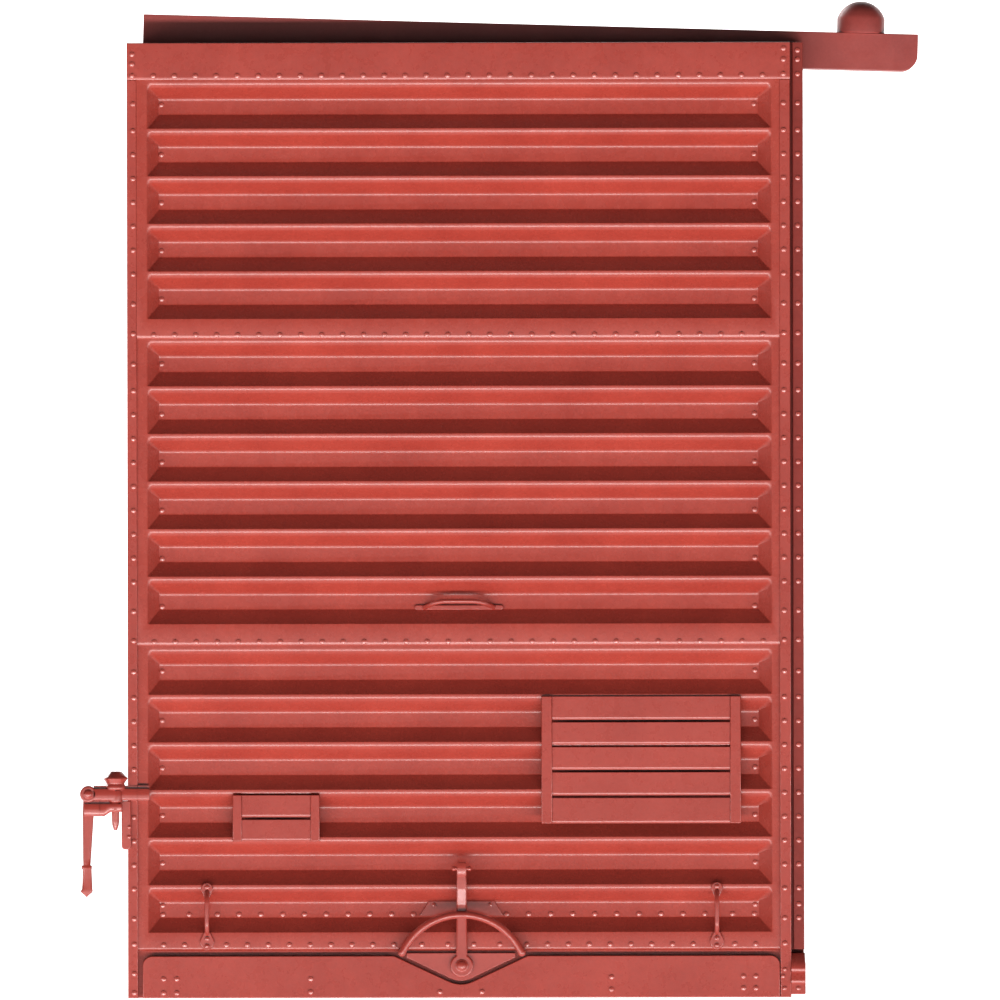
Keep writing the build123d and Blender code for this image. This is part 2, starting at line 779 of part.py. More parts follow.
# rivets at both ends of every pocket
pocket_rivet_z = [33.20] + evenly(31.34, -1.79, 4)
pocket_rivet_z += [23.56] + evenly(21.69, -1.79, 5)
pocket_rivet_z += [12.13] + evenly(10.30, -1.77, 4) + [3.42]
with BuildPart() as pocket_end_rivets:
    end_points = []
    for z in pocket_rivet_z:
        end_points.append((floor_left + 0.10, z))
        end_points.append((floor_right - 0.13, z))
    dome_heads(end_points, pocket_floor_y)
pocket_end_rivets.part.label = "pocket_end_rivets"
export_step(pocket_end_rivets.part, "parts/pocket_end_rivets.step")

# heights of the rivets on the upright members
stile_rivet_z = [33.21] + evenly(32.21, -stile_rivet_pitch, 7) + [25.77, 24.67]
stile_rivet_z += [23.54] + evenly(22.55, -stile_rivet_pitch, 9) + [14.36, 13.27]
stile_rivet_z += [12.11] + evenly(11.15, -stile_rivet_pitch, 9) + [2.94, 2.00]

with BuildPart() as left_stile_rivets:
    # one rivet is left out where the latch's strap crosses the stile
    left_heights = [z for z in stile_rivet_z + [0.91, 0.20] if not strap_bottom < z < strap_top + 0.1]
    dome_heads([(-12.33, z) for z in left_heights], stile_front)
left_stile_rivets.part.label = "left_stile_rivets"
export_step(left_stile_rivets.part, "parts/left_stile_rivets.step")

with BuildPart() as right_stile_rivets:
    dome_heads([(11.83, z) for z in stile_rivet_z], stile_front)
right_stile_rivets.part.label = "right_stile_rivets"
export_step(right_stile_rivets.part, "parts/right_stile_rivets.step")

with BuildPart() as edge_strip_rivets:
    strip_heights = [z for z in stile_rivet_z + [35.17, 34.83, 34.29, 3.45] if z > 2.1]
    dome_heads([(12.36, z) for z in strip_heights], edge_strip_front)
edge_strip_rivets.part.label = "edge_strip_rivets"
export_step(edge_strip_rivets.part, "parts/edge_strip_rivets.step")

# rivets on the bottom rail
rail_points = [(-11.24, 0.71), (-10.75, 0.71), (-11.24, 0.19), (-10.75, 0.19)]
rail_points += [(-5.78, 0.71), (-5.78, 0.22), (-0.98, 0.22), (0.58, 0.22)]
rail_points += [(5.39, 0.76), (5.39, 0.30)]
rail_points += [(10.29, 0.78), (10.75, 0.78), (10.29, 0.34), (10.75, 0.34)]
with BuildPart() as bottom_rail_rivets:
    dome_heads(rail_points, bottom_rail_front)
bottom_rail_rivets.part.label = "bottom_rail_rivets"
export_step(bottom_rail_rivets.part, "parts/bottom_rail_rivets.step")

# rivets on the corner shoe and on the stile beside it
with BuildPart() as shoe_rivets:
    dome_heads([(11.83, 1.03), (11.76, 0.78), (11.82, 0.33), (12.33, 0.33)], stile_front, 0.08, 0.06)
shoe_rivets.part.label = "shoe_rivets"
export_step(shoe_rivets.part, "parts/shoe_rivets.step")

# guide bar: local x runs along the bar and local y across it
bar_plane = Plane(
    origin=(bar_centre_x, bar_front, bar_centre_z),
    x_dir=(cos(radians(bar_slope)), 0, -sin(radians(bar_slope))),
    z_dir=(0, -1, 0),
)
with BuildPart() as guide_bar:
    with BuildSketch(bar_plane):
        with BuildLine():
            half = bar_length / 2
            Line((-half, -bar_height / 2), (half - 0.60, -bar_height / 2))
            RadiusArc((half - 0.60, -bar_height / 2), (half, -bar_height / 2 + 0.60), -0.60)
            Line((half, -bar_height / 2 + 0.60), (half, bar_height / 2))
            Line((half, bar_height / 2), (-half, bar_height / 2))
            Line((-half, bar_height / 2), (-half, -bar_height / 2))
        make_face()
    extrude(amount=bar_front - bar_back)
    # groove along the back, closed at both ends, for the hangers' tongues
    with BuildSketch(bar_plane.offset(bar_front - bar_back)):
        with Locations(((groove_left + groove_right) / 2, 0)):
            Rectangle(groove_right - groove_left, groove_height)
    extrude(amount=groove_depth, mode=Mode.SUBTRACT)
    # blind hole in the top for the knob's shank
    shank_floor = bar_height / 2 - shank_length - 0.02
    shank_middle = (shank_floor + bar_height / 2 + 0.5) / 2
    shank_centre = bar_plane.from_local_coords(
        (knob_along_bar, shank_middle, (bar_front - bar_back) / 2)
    )
    knob_axis = (sin(radians(bar_slope)), 0, cos(radians(bar_slope)))
    with Locations(Plane(origin=shank_centre, z_dir=knob_axis)):
        Cylinder(shank_radius, bar_height / 2 + 0.5 - shank_floor, mode=Mode.SUBTRACT)
guide_bar.part.label = "guide_bar"
export_step(guide_bar.part, "parts/guide_bar.step")

# locating knob on top of the bar: shank, straight ring and domed top
bar_direction = (cos(radians(bar_slope)), 0, -sin(radians(bar_slope)))
knob_foot = bar_plane.from_local_coords(
    (knob_along_bar, bar_height / 2, (bar_front - bar_back) / 2)
)
dome_height = knob_height - knob_ring_height
dome_radius = (dome_height**2 + knob_radius**2) / (2 * dome_height)
dome_centre = knob_height - dome_radius
half_dome = atan2(knob_radius, knob_ring_height - dome_centre) / 2
with BuildPart() as locating_knob:
    with BuildSketch(Plane(origin=knob_foot, x_dir=(0, 1, 0), z_dir=bar_direction)):
        with BuildLine():
            Line((0, -shank_length), (shank_radius, -shank_length))
            Line((shank_radius, -shank_length), (shank_radius, 0))
            Line((shank_radius, 0), (knob_radius, 0))
            Line((knob_radius, 0), (knob_radius, knob_ring_height))
            ThreePointArc(
                (knob_radius, knob_ring_height),
                (dome_radius * sin(half_dome), dome_centre + dome_radius * cos(half_dome)),
                (0, knob_height),
            )
            Line((0, knob_height), (0, -shank_length))
        make_face()
    revolve(axis=Axis(knob_foot, knob_axis))
locating_knob.part.label = "locating_knob"
export_step(locating_knob.part, "parts/locating_knob.step")


def hanger(along_bar):
    # hooks under the bar and up behind it, with a tongue in the groove; foot on the header angle
    with BuildPart() as hook:
        with BuildSketch(bar_plane):
            with Locations((along_bar, -bar_height / 2 - 0.60)):
                Rectangle(hanger_width, 1.00)
        extrude(amount=bar_front - door_back)
        under_middle = -bar_height / 2 - hanger_gap - hanger_thickness / 2
        with BuildSketch(bar_plane.offset(bar_front - door_back)):
            with Locations((along_bar, under_middle)):
                Rectangle(hanger_width, hanger_thickness)
        extrude(amount=-(bar_back + hanger_gap + hanger_thickness - door_back))
        tongue_half = groove_height / 2 - hanger_gap
        back_low = -bar_height / 2 - hanger_gap - hanger_thickness
        with BuildSketch(bar_plane.offset(bar_front - bar_back - hanger_gap)):
            with Locations((along_bar, (back_low + tongue_half) / 2)):
                Rectangle(hanger_width, tongue_half - back_low)
        extrude(amount=-hanger_thickness)
        with BuildSketch(bar_plane.offset(bar_front - bar_back - hanger_gap)):
            with Locations((along_bar, 0)):
                Rectangle(hanger_width, 2 * tongue_half)
        extrude(amount=groove_depth)
    return hook


left_hanger_hook = hanger(left_hanger)
left_hanger_hook.part.label = "left_hanger"
export_step(left_hanger_hook.part, "parts/left_hanger.step")

right_hanger_hook = hanger(right_hanger)
right_hanger_hook.part.label = "right_hanger"
export_step(right_hanger_hook.part, "parts/right_hanger.step")

# rivets through the hangers' feet, with their heads at the back
with BuildPart() as hanger_rivets:
    rivet_spots = []
    for along_bar in (left_hanger, right_hanger):
        for side in (-0.55, 0.55):
            spot = bar_plane.from_local_coords((along_bar + side, -bar_height / 2 - 0.85, 0))
            rivet_spots.append((spot.X, spot.Z))
    dome_heads(rivet_spots, bar_front, 0.16, 0.12, 1)
hanger_rivets.part.label = "hanger_rivets"
export_step(hanger_rivets.part, "parts/hanger_rivets.step")
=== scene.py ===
import math

import bmesh
import bpy
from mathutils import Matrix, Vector
from mathutils.geometry import tessellate_polygon


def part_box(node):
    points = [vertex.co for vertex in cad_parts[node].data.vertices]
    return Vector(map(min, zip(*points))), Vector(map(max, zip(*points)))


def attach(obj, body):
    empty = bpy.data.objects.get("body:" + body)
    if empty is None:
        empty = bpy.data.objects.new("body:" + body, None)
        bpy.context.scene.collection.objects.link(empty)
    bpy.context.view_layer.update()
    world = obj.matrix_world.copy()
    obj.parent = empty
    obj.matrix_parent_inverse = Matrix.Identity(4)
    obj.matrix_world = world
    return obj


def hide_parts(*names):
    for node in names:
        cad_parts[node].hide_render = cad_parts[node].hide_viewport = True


# Detailed looks for the corrugated sliding door of a 1:87 box car.
# Lengths are in millimetres until a piece is made, when they're turned into metres.
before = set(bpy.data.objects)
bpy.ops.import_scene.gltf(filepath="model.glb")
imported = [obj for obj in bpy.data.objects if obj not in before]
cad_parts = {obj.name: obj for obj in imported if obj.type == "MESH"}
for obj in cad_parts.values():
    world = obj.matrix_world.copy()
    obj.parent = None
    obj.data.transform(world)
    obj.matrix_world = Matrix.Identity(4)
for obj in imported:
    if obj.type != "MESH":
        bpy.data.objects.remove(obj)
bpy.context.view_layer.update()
MM = 0.001


def span(node):
    # a node's box as ((x0, x1), (y0, y1), (z0, z1)) in millimetres
    low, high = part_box(node)
    return [(a / MM, b / MM) for a, b in zip(low, high)]


# ---------------------------------------------------------------- dimensions
# the frame gives where the pieces are
DOOR_LEFT = span("left_stile")[0][0]
DOOR_RIGHT = span("edge_strip")[0][1]
DOOR_TOP = span("top_rail")[2][1]
DOOR_BACK = span("header_angle")[1][1]
STILE_FRONT = span("left_stile")[1][0]
RIGHT_STILE_EDGE = span("top_rail")[0][1]
SHEET_X = span("lower_sheet")[0]
SHEET_FRONTS = [span(name)[1][0] for name in ("upper_sheet", "middle_sheet", "lower_sheet")]
TOP_SEAM = span("top_rail")[2][0]
UPPER_SEAM, MIDDLE_SEAM = span("upper_sheet")[2][0], span("middle_sheet")[2][0]
TOP_RAIL_FRONT, TOP_RAIL_BACK = span("top_rail")[1]
RAIL_FRONT, RAIL_TOP = span("bottom_rail")[1][0], span("bottom_rail")[2][1]
FLOOR_Y = span("floor_rivets")[1][1]
STRIP_FRONT = span("edge_strip")[1][0]
LAP = SHEET_FRONTS[2] - SHEET_FRONTS[1]

# pockets pressed into the sheets
POCKET_X = (-11.81, 11.37)
FLOOR_X = (-11.39, 10.88)
POCKET_HEIGHT = 1.66
POCKET_PITCH = 1.768
FLOOR_HEIGHT = 0.60
RIM_CROWN = 0.07
SHEET_WALL = 0.15
SHEET_SHARP = 40
RABBET = 0.12
RABBET_TOP = 1.74
EDGE_BEVEL = 0.14
# radii at the rim and at the floor of a pocket's upper slope, lower slope and ends
UPPER_ROUNDS, LOWER_ROUNDS, END_ROUNDS = (0.30, 0.22), (0.03, 0.05), (0.07, 0.05)
RIM_CORNER, FLOOR_CORNER = 0.16, 0.07
# height of the first pocket's rim in each sheet
FIRST_POCKETS = {"upper": 33.96, "middle": 24.39, "lower": 12.93}

# rails, plate and strip
NOTCH_X, NOTCH_HALF, NOTCH_TIP = -0.20, 2.49, 0.40
PLATE_HALF, PLATE_TIP, PLATE_SHOULDER, PLATE_TOP = 2.02, 0.53, 1.49, 1.66
STRIP_FLOOR, STRIP_GAP_FLOOR, STRIP_BOTTOM, STRIP_GROOVE = 0.20, 0.90, 1.77, 0.09
RAIL_SHOULDER = 0.35
SHOE_BOTTOM, SHOE_TOP = 0.11, 1.62
ANGLE_LEG, ANGLE_WEB = 0.25, 0.20
SILL_FRONT = 0.20

# lever, guard and latch
PIVOT = (-0.17, 1.19)
GUARD_CENTRE = (-0.165, 0.625)
GUARD_RADIUS = 2.46
GUARD_ROD = 0.14
GUARD_END = math.radians(25.4)
LEVER_FRONT, LEVER_BACK, LEVER_OFFSET = -0.22, -0.10, 0.16
GUARD_Y = LEVER_FRONT - 0.02 - GUARD_ROD
LATCH_PIN = (-14.02, 7.59)
STRAP_FRONT, STRAP_BACK = -0.46, -0.29
STRAP_HIGH = span("hasp_strap")[2][1]
STRAP_LOW, RING_LOW = 7.34, 7.28
TAIL_FRONT = -0.30
ARM_LOW, ARM_RING_LOW = 6.77, 6.93
BRACKET_FRONT, BRACKET_BACK = -0.26, -0.12
HANDLE_FRONT, HANDLE_BACK = -0.26, -0.06
DROP_PIN = (-13.02, -0.19)

# grab irons
GRAB_X = (-9.63, 9.31)
FOOT_FRONT = -0.07

# guide bar
BAR_CENTRE = (2.445, 35.521)
BAR_SLOPE = math.radians(1.60)
BAR_LENGTH, BAR_HEIGHT, BAR_FRONT, BAR_BACK = 28.88, 1.38, 1.35, 2.55
BAR_CORNER = 0.60
GROOVE_DEPTH = 0.38
KNOB_ALONG, KNOB_RADIUS, KNOB_SIDE, KNOB_HEIGHT = 12.31, 0.89, 0.55, 1.20
HANGER_ALONG, HANGER_HALF = (-11.60, 6.50), 0.90

# rivet heads as (radius, height), their rise above a seam and the right stile's column
RIVET, SMALL_RIVET = (0.095, 0.061), (0.08, 0.06)
SEAM_RIVET_RISE = 0.15
RIGHT_RIVET_X = 11.83

# stage, camera and lamp in metres, lens and sensor in millimetres
FLOOR_LEVEL = -0.0004
CAMERA_X, CAMERA_Z, CAMERA_ROLL = 0.00128, 0.018482, 0.00175
# the width of the view at the door
FIELD = 0.03715
LENS, SENSOR = 400, 36
LAMP_ANGLE, LAMP_DISTANCE, LAMP_WATTS = math.radians(30), 0.80, 18.4


# ---------------------------------------------------------------- materials
def red_plastic(name, light, dark, rough, grain=0.25, blotch=420.0, coat=0.12, coat_rough=0.20, specular=0.5):
    # moulded plastic in oxide red: soft colour drift, fine surface grain, uneven gloss
    mat = bpy.data.materials.new(name)
    mat.use_nodes = True
    nodes, links = mat.node_tree.nodes, mat.node_tree.links
    shader = nodes["Principled BSDF"]
    shader.inputs["IOR"].default_value = 1.55
    shader.inputs["Specular IOR Level"].default_value = specular
    shader.inputs["Coat Weight"].default_value = coat
    shader.inputs["Coat Roughness"].default_value = coat_rough
    where = nodes.new("ShaderNodeTexCoord")

    def noise(scale, detail, rough_value):
        tex = nodes.new("ShaderNodeTexNoise")
        tex.inputs["Scale"].default_value = scale
        tex.inputs["Detail"].default_value = detail
        tex.inputs["Roughness"].default_value = rough_value
        links.new(where.outputs["Object"], tex.inputs["Vector"])
        return tex

    drift = noise(blotch, 4.0, 0.6)
    speck = noise(9000.0, 3.0, 0.7)
    ramp = nodes.new("ShaderNodeValToRGB")
    ramp.color_ramp.elements[0].position = 0.32
    ramp.color_ramp.elements[0].color = (*dark, 1)
    ramp.color_ramp.elements[1].position = 0.68
    ramp.color_ramp.elements[1].color = (*light, 1)
    links.new(drift.outputs["Fac"], ramp.inputs["Fac"])
    mix = nodes.new("ShaderNodeMix")
    mix.data_type = "RGBA"
    mix.blend_type = "OVERLAY"
    mix.inputs["Factor"].default_value = 0.16
    links.new(ramp.outputs["Color"], mix.inputs["A"])
    links.new(speck.outputs["Fac"], mix.inputs["B"])
    links.new(mix.outputs["Result"], shader.inputs["Base Color"])
    gloss = nodes.new("ShaderNodeMapRange")
    gloss.inputs["From Min"].default_value = 0.3
    gloss.inputs["From Max"].default_value = 0.7
    gloss.inputs["To Min"].default_value = rough[0]
    gloss.inputs["To Max"].default_value = rough[1]
    gloss_noise = noise(2600.0, 3.0, 0.6)
    links.new(gloss_noise.outputs["Fac"], gloss.inputs["Value"])
    links.new(gloss.outputs["Result"], shader.inputs["Roughness"])
    grain_noise = noise(14000.0, 4.0, 0.65)
    bump = nodes.new("ShaderNodeBump")
    bump.inputs["Strength"].default_value = grain
    bump.inputs["Distance"].default_value = 0.00001
    links.new(grain_noise.outputs["Fac"], bump.inputs["Height"])
    links.new(bump.outputs["Normal"], shader.inputs["Normal"])
    return mat


# each with its lighter and darker colour and its range of roughness
SHEET_MAT = red_plastic("oxide_red_sheet", (0.36, 0.060, 0.042), (0.31, 0.048, 0.034), (0.22, 0.32),
                        coat=0.25)
FRAME_MAT = red_plastic("oxide_red_frame", (0.36, 0.065, 0.049), (0.31, 0.053, 0.040), (0.24, 0.35),
                        blotch=300.0)
HARDWARE_MAT = red_plastic("oxide_red_hardware", (0.37, 0.064, 0.047), (0.32, 0.051, 0.038), (0.18, 0.26),
                           0.15, coat=0.7, coat_rough=0.16, specular=0.8)
# painted highlight: the rivet heads get a lighter, pinker oxide red than the sheets to stand in for their
# glints; the full coat and specular level add real gloss
RIVET_PAINTED_GLINT_MAT = red_plastic("oxide_red_rivet_painted_glint", (0.42, 0.090, 0.070), (0.38, 0.078, 0.060), (0.18, 0.24),
                        0.10, coat=1.0, coat_rough=0.18, specular=1.0)
GUIDE_MAT = red_plastic("oxide_red_guide", (0.31, 0.062, 0.052), (0.26, 0.051, 0.044), (0.34, 0.48))
# painted shade: a darker copy of the oxide red for the recessed edge strip, standing in for the shade it sits
# in
SHADED_EDGE_MAT = red_plastic("oxide_red_edge_painted_shade", (0.24, 0.038, 0.029), (0.20, 0.032, 0.024), (0.32, 0.44),
                       specular=0.3)


# ---------------------------------------------------------------- mesh tools
def circle(x, z, radius, count=40, start=0.0, end=2 * math.pi):
    full = abs(end - start - 2 * math.pi) < 1e-6
    steps = count if full else count - 1
    return [
        (x + radius * math.cos(start + (end - start) * k / steps),
         z + radius * math.sin(start + (end - start) * k / steps))
        for k in range(count)
    ]


def rectangle(x0, x1, z0, z1, radius=0.0, count=5):
    if radius <= 0:
        return [(x0, z0), (x1, z0), (x1, z1), (x0, z1)]
    corners = ((x1 - radius, z0 + radius, -90), (x1 - radius, z1 - radius, 0),
               (x0 + radius, z1 - radius, 90), (x0 + radius, z0 + radius, 180))
    points = []
    for x, z, degrees in corners:
        a = math.radians(degrees)
        points += circle(x, z, radius, count, a, a + math.pi / 2)
    return points


def soften(points, radius, count=4, closed=True):
    # rounds the corners of a path of 2-D or 3-D points
    points = [Vector(p) for p in points]
    n = len(points)
    out = []
    for i, p in enumerate(points):
        if not closed and i in (0, n - 1):
            out.append(p)
            continue
        a, b = points[i - 1] - p, points[(i + 1) % n] - p
        reach = min(radius, a.length * 0.45, b.length * 0.45)
        start, end = p + a.normalized() * reach, p + b.normalized() * reach
        for k in range(count + 1):
            t = k / count
            out.append(start * (1 - t) ** 2 + p * 2 * t * (1 - t) + end * t ** 2)
    return [tuple(q) for q in out]


def inset(loop, distance):
    # moves a loop to its left, which is into the material
    out = []
    n = len(loop)
    for i in range(n):
        p0, p, p1 = Vector(loop[i - 1]), Vector(loop[i]), Vector(loop[(i + 1) % n])
        e0, e1 = (p - p0).normalized(), (p1 - p).normalized()
        n0, n1 = Vector((-e0.y, e0.x)), Vector((-e1.y, e1.x))
        m = n0 + n1
        m /= max(0.35, m.dot(n0))
        out.append(tuple(p + m * distance))
    return out


def area(loop):
    return sum(a[0] * b[1] - b[0] * a[1] for a, b in zip(loop, loop[1:] + loop[:1])) / 2


class Shape:
    # gathers the faces of one piece
    def __init__(self):
        self.verts = []
        self.faces = []

    def add(self, verts, faces):
        # the faces count from this call's first vertex
        base = len(self.verts)
        self.verts += [tuple(v) for v in verts]
        self.faces += [[base + i for i in f] for f in faces]

    def stack(self, rings, closed_start=False, closed_end=False):
        # joins rings of equally many points, each ring a closed loop
        n = len(rings[0])
        faces = []
        for r in range(len(rings) - 1):
            for i in range(n):
                j = (i + 1) % n
                faces.append([r * n + i, r * n + j, (r + 1) * n + j, (r + 1) * n + i])
        if closed_start:
            faces.append(list(range(n))[::-1])
        if closed_end:
            faces.append([(len(rings) - 1) * n + i for i in range(n)])
        self.add([v for ring in rings for v in ring], faces)

    def plate(self, loops, front, back, bevel=0.03, steps=3, place=None, back_bevel=None):
        # a flat plate between two Y levels, its edges rounded; first loop outer, others holes
        place = place or (lambda x, z, y: (x, y, z))
        back_bevel = bevel if back_bevel is None else back_bevel
        fixed = []
        for k, loop in enumerate(loops):
            loop = [tuple(p[:2]) for p in loop]
            if (area(loop) > 0) != (k == 0):
                loop = loop[::-1]
            fixed.append(loop)
        fronts, backs = [], []
        for loop in fixed:
            rings = []
            for s in range(steps, -1, -1):
                a = math.pi / 2 * s / steps
                edge = inset(loop, bevel * (1 - math.cos(a)))
                rings.append([place(x, z, front + bevel * (1 - math.sin(a))) for x, z in edge])
            for s in range(0, steps + 1):
                a = math.pi / 2 * s / steps
                edge = inset(loop, back_bevel * (1 - math.cos(a)))
                rings.append([place(x, z, back - back_bevel * (1 - math.sin(a))) for x, z in edge])
            self.stack([r[::-1] for r in rings])
            fronts.append(inset(loop, bevel))
            backs.append(inset(loop, back_bevel))
        for group, level, flip in ((fronts, front, False), (backs, back, True)):
            flat = [[Vector((x, z, 0)) for x, z in loop] for loop in group]
            triangles = tessellate_polygon(flat)
            points = [place(x, z, level) for loop in group for x, z in loop]
            faces = []
            for t in triangles:
                a, b, c = (group_point(group, i) for i in t)
                turn = (b[0] - a[0]) * (c[1] - a[1]) - (b[1] - a[1]) * (c[0] - a[0])
                face = list(t) if turn > 0 else list(t)[::-1]
                faces.append(face[::-1] if flip else face)
            self.add(points, faces)

    def box(self, x0, x1, y0, y1, z0, z1, bevel=0.03, place=None):
        self.plate([rectangle(x0, x1, z0, z1)], y0, y1, bevel, place=place)

    def turned(self, profile, origin, axis, count=32):
        # a profile of (radius, height) turned about an axis
        axis = Vector(axis).normalized()
        side = axis.orthogonal().normalized()
        other = axis.cross(side)
        origin = Vector(origin)
        rings = []
        for radius, height in profile:
            ring = []
            for k in range(count):
                a = 2 * math.pi * k / count
                spoke = side * math.cos(a) + other * math.sin(a)
                ring.append(tuple(origin + axis * height + spoke * max(radius, 1e-4)))
            rings.append(ring)
        self.stack(rings, profile[0][0] <= 1e-3, profile[-1][0] <= 1e-3)

    def tube(self, path, radius, count):
        # a round rod along a path, its two ends rounded
        path = [Vector(p) for p in path]
        tangents = []
        for i in range(len(path)):
            a, b = path[max(0, i - 1)], path[min(len(path) - 1, i + 1)]
            tangents.append((b - a).normalized())
        side = tangents[0].orthogonal().normalized()
        frames = []
        for p, t in zip(path, tangents):
            side = (side - t * side.dot(t)).normalized()
            frames.append((p, t, side.copy(), t.cross(side)))

        def ring(station, along, reach):
            p, t, s, o = station
            return [tuple(p + t * along + (s * math.cos(a) + o * math.sin(a)) * reach)
                    for a in (2 * math.pi * k / count for k in range(count))]

        ends = [(radius * math.sqrt(1 - e * e), radius * max(e, 0.02)) for e in (0.0, 0.38, 0.71, 0.92)]
        rings = [ring(frames[0], -along, reach) for along, reach in ends]
        rings += [ring(station, 0.0, radius) for station in frames]
        rings += [ring(frames[-1], along, reach) for along, reach in ends[::-1]]
        self.stack(rings, True, True)

    def bar(self, stations, radius):
        # an upright bar through stations (z, x0, x1, y0, y1), with rounded corners
        rings = []
        for z, x0, x1, y0, y1 in stations:
            r = min(radius, (x1 - x0) * 0.48, (y1 - y0) * 0.48)
            rings.append([(x, y, z) for x, y in rectangle(x0, x1, y0, y1, r, 4)])
        self.stack(rings, True, True)

    def bar_along_x(self, section, x0, x1):
        # a section of (y, z) points drawn out along X
        self.stack([[(x, y, z) for y, z in section] for x in (x0, x1)], True, True)

    def dome(self, x, z, face, radius, height, facing=-1):
        # a moulded rivet head: upright side, tight shoulder and a low dome
        profile = [(1.0, 0.0), (1.0, 0.36), (0.97, 0.54), (0.93, 0.63), (0.90, 0.66), (0.74, 0.737),
                   (0.44, 0.861), (0.19, 0.952), (0.0, 1.0)]
        self.turned([(radius * r, height * h) for r, h in profile], (x, face, z), (0, facing, 0), 18)

    def make(self, name, material, body, nodes, sharp=38, weighted=True):
        # turns the gathered faces into a named object that rides a body and replaces its nodes
        mesh = bpy.data.meshes.new(name)
        mesh.from_pydata([Vector(v) * MM for v in self.verts], [], self.faces)
        mesh.validate()
        mesh.shade_smooth()
        mesh.set_sharp_from_angle(angle=math.radians(sharp))
        mesh.materials.append(material)
        obj = bpy.data.objects.new(name, mesh)
        bpy.context.scene.collection.objects.link(obj)
        if weighted:
            even = obj.modifiers.new("even_shading", "WEIGHTED_NORMAL")
            even.keep_sharp = True
        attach(obj, body)
        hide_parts(*nodes)
        return obj


def group_point(group, index):
    # finds a point by its number when several loops are counted through
    for loop in group:
        if index < len(loop):
            return loop[index]
        index -= len(loop)


def evenly(first, pitch, count):
    return [first + pitch * k for k in range(count)]


# ---------------------------------------------------------------- pressed sheets
def dished(depth, run, rim_radius, floor_radius, steps=6):
    # a pocket side in section: rounded rim, straight slope, rounded floor edge, as (inward, deep)
    angle = math.atan2(depth, run)
    rim_start = -rim_radius * math.tan(angle / 2)
    floor_end = run + floor_radius * math.tan(angle / 2)
    section = []
    for k in range(steps + 1):
        a = angle * k / steps
        section.append((rim_start + rim_radius * math.sin(a), rim_radius * (1 - math.cos(a))))
    for k in range(steps, -1, -1):
        a = angle * k / steps
        section.append((floor_end - floor_radius * math.sin(a), depth - floor_radius * (1 - math.cos(a))))
    return section


def pocket_ring(sides, rim, k, corner, steps=4):
    # ring k of a pocket: a rounded rectangle whose four sides follow their own sections
    left, right, low, high = [side[k] for side in sides]
    x0, x1, z0, z1 = rim
    x0, x1, z0, z1 = x0 + left[0], x1 - right[0], z0 + low[0], z1 - high[0]
    ring = []
    for cx, cz, radius, start, from_side, to_side in (
        (x1, z0, corner * 0.3, -90, low, right), (x1, z1, corner, 0, right, high),
        (x0, z1, corner, 90, high, left), (x0, z0, corner * 0.3, 180, left, low)):
        sx, sz = (1 if cx == x1 else -1), (1 if cz == z1 else -1)
        for n in range(steps + 1):
            t = n / steps
            a = math.radians(start + 90 * t)
            x = cx - sx * radius + radius * math.cos(a)
            z = cz - sz * radius + radius * math.sin(a)
            ring.append((x, from_side[1] * (1 - t) + to_side[1] * t, z))
    return ring


def pressed_sheet(name, node, front, top, lip, first, count, rabbet=0.0):
    # dished pockets in a flat sheet whose lower edge is bevelled where it laps the next one
    shape = Shape()
    slope = (POCKET_HEIGHT - FLOOR_HEIGHT) / 2
    crest = POCKET_PITCH - POCKET_HEIGHT
    depth = FLOOR_Y - front
    high = dished(depth, slope - RIM_CROWN, *UPPER_ROUNDS)
    low = dished(depth, slope, *LOWER_ROUNDS)
    left = dished(depth, FLOOR_X[0] - POCKET_X[0], *END_ROUNDS)
    right = dished(depth, POCKET_X[1] - FLOOR_X[1], *END_ROUNDS)
    x_low, x_high = SHEET_X
    for k in range(count):
        rim_top = first - POCKET_PITCH * k
        rim = (POCKET_X[0], POCKET_X[1], rim_top - POCKET_HEIGHT, rim_top - RIM_CROWN)
        rings = []
        for n in range(len(high)):
            corner = RIM_CORNER if n < len(high) // 2 else FLOOR_CORNER
            ring = pocket_ring((left, right, low, high), rim, n, corner)
            rings.append([(x, front + y, z) for x, y, z in ring])
        shape.stack(rings, False, True)
        # the flat cell round the pocket, with a fan of faces at each corner
        cell_top = top if k == 0 else rim_top + crest - 0.02
        cell_low = lip + EDGE_BEVEL if k == count - 1 else rim_top - POCKET_HEIGHT - 0.02
        first_ring = rings[0]
        n = len(first_ring)
        corner = n // 4
        outer = [(x_high, front, cell_low), (x_high, front, cell_top),
                 (x_low, front, cell_top), (x_low, front, cell_low)]
        faces = []
        for c in range(4):
            run = [c * corner + i for i in range(corner)]
            for a, b in zip(run[:-1], run[1:]):
                faces.append([n + c, b, a])
            after = (c * corner + corner) % n
            faces.append([n + c, n + (c + 1) % 4, after, run[-1]])
        shape.add(first_ring + outer, faces)
    # lower edge: a shallow bevel, then a small round; the lowest sheet steps back behind the rail
    if rabbet:
        rows = [(EDGE_BEVEL, 0.0), (0.10, 0.006), (0.07, 0.016), (0.05, 0.026), (0.03, 0.042), (0.012, 0.065),
                (0.0, rabbet), (0.02 - lip, rabbet)]
    else:
        rows = [(EDGE_BEVEL, 0.0), (0.12, 0.003), (0.05, 0.022), (0.025, 0.032), (0.008, 0.042), (0.0, LAP)]
    verts = [(x, front + y, lip + z) for z, y in rows for x in (x_low, x_high)]
    faces = [[2 * r, 2 * r + 2, 2 * r + 3, 2 * r + 1] for r in range(len(rows) - 1)]
    shape.add(verts, faces)
    obj = shape.make(name, SHEET_MAT, "door", [node], sharp=SHEET_SHARP, weighted=False)
    merge_by_distance(obj.data)
    thick = obj.modifiers.new("wall", "SOLIDIFY")
    thick.thickness = SHEET_WALL * MM
    thick.offset = -1
    solid = bpy.data.meshes.new_from_object(obj.evaluated_get(bpy.context.evaluated_depsgraph_get()))
    obj.modifiers.clear()
    obj.data = solid
    solid.shade_smooth()
    solid.set_sharp_from_angle(angle=math.radians(SHEET_SHARP))


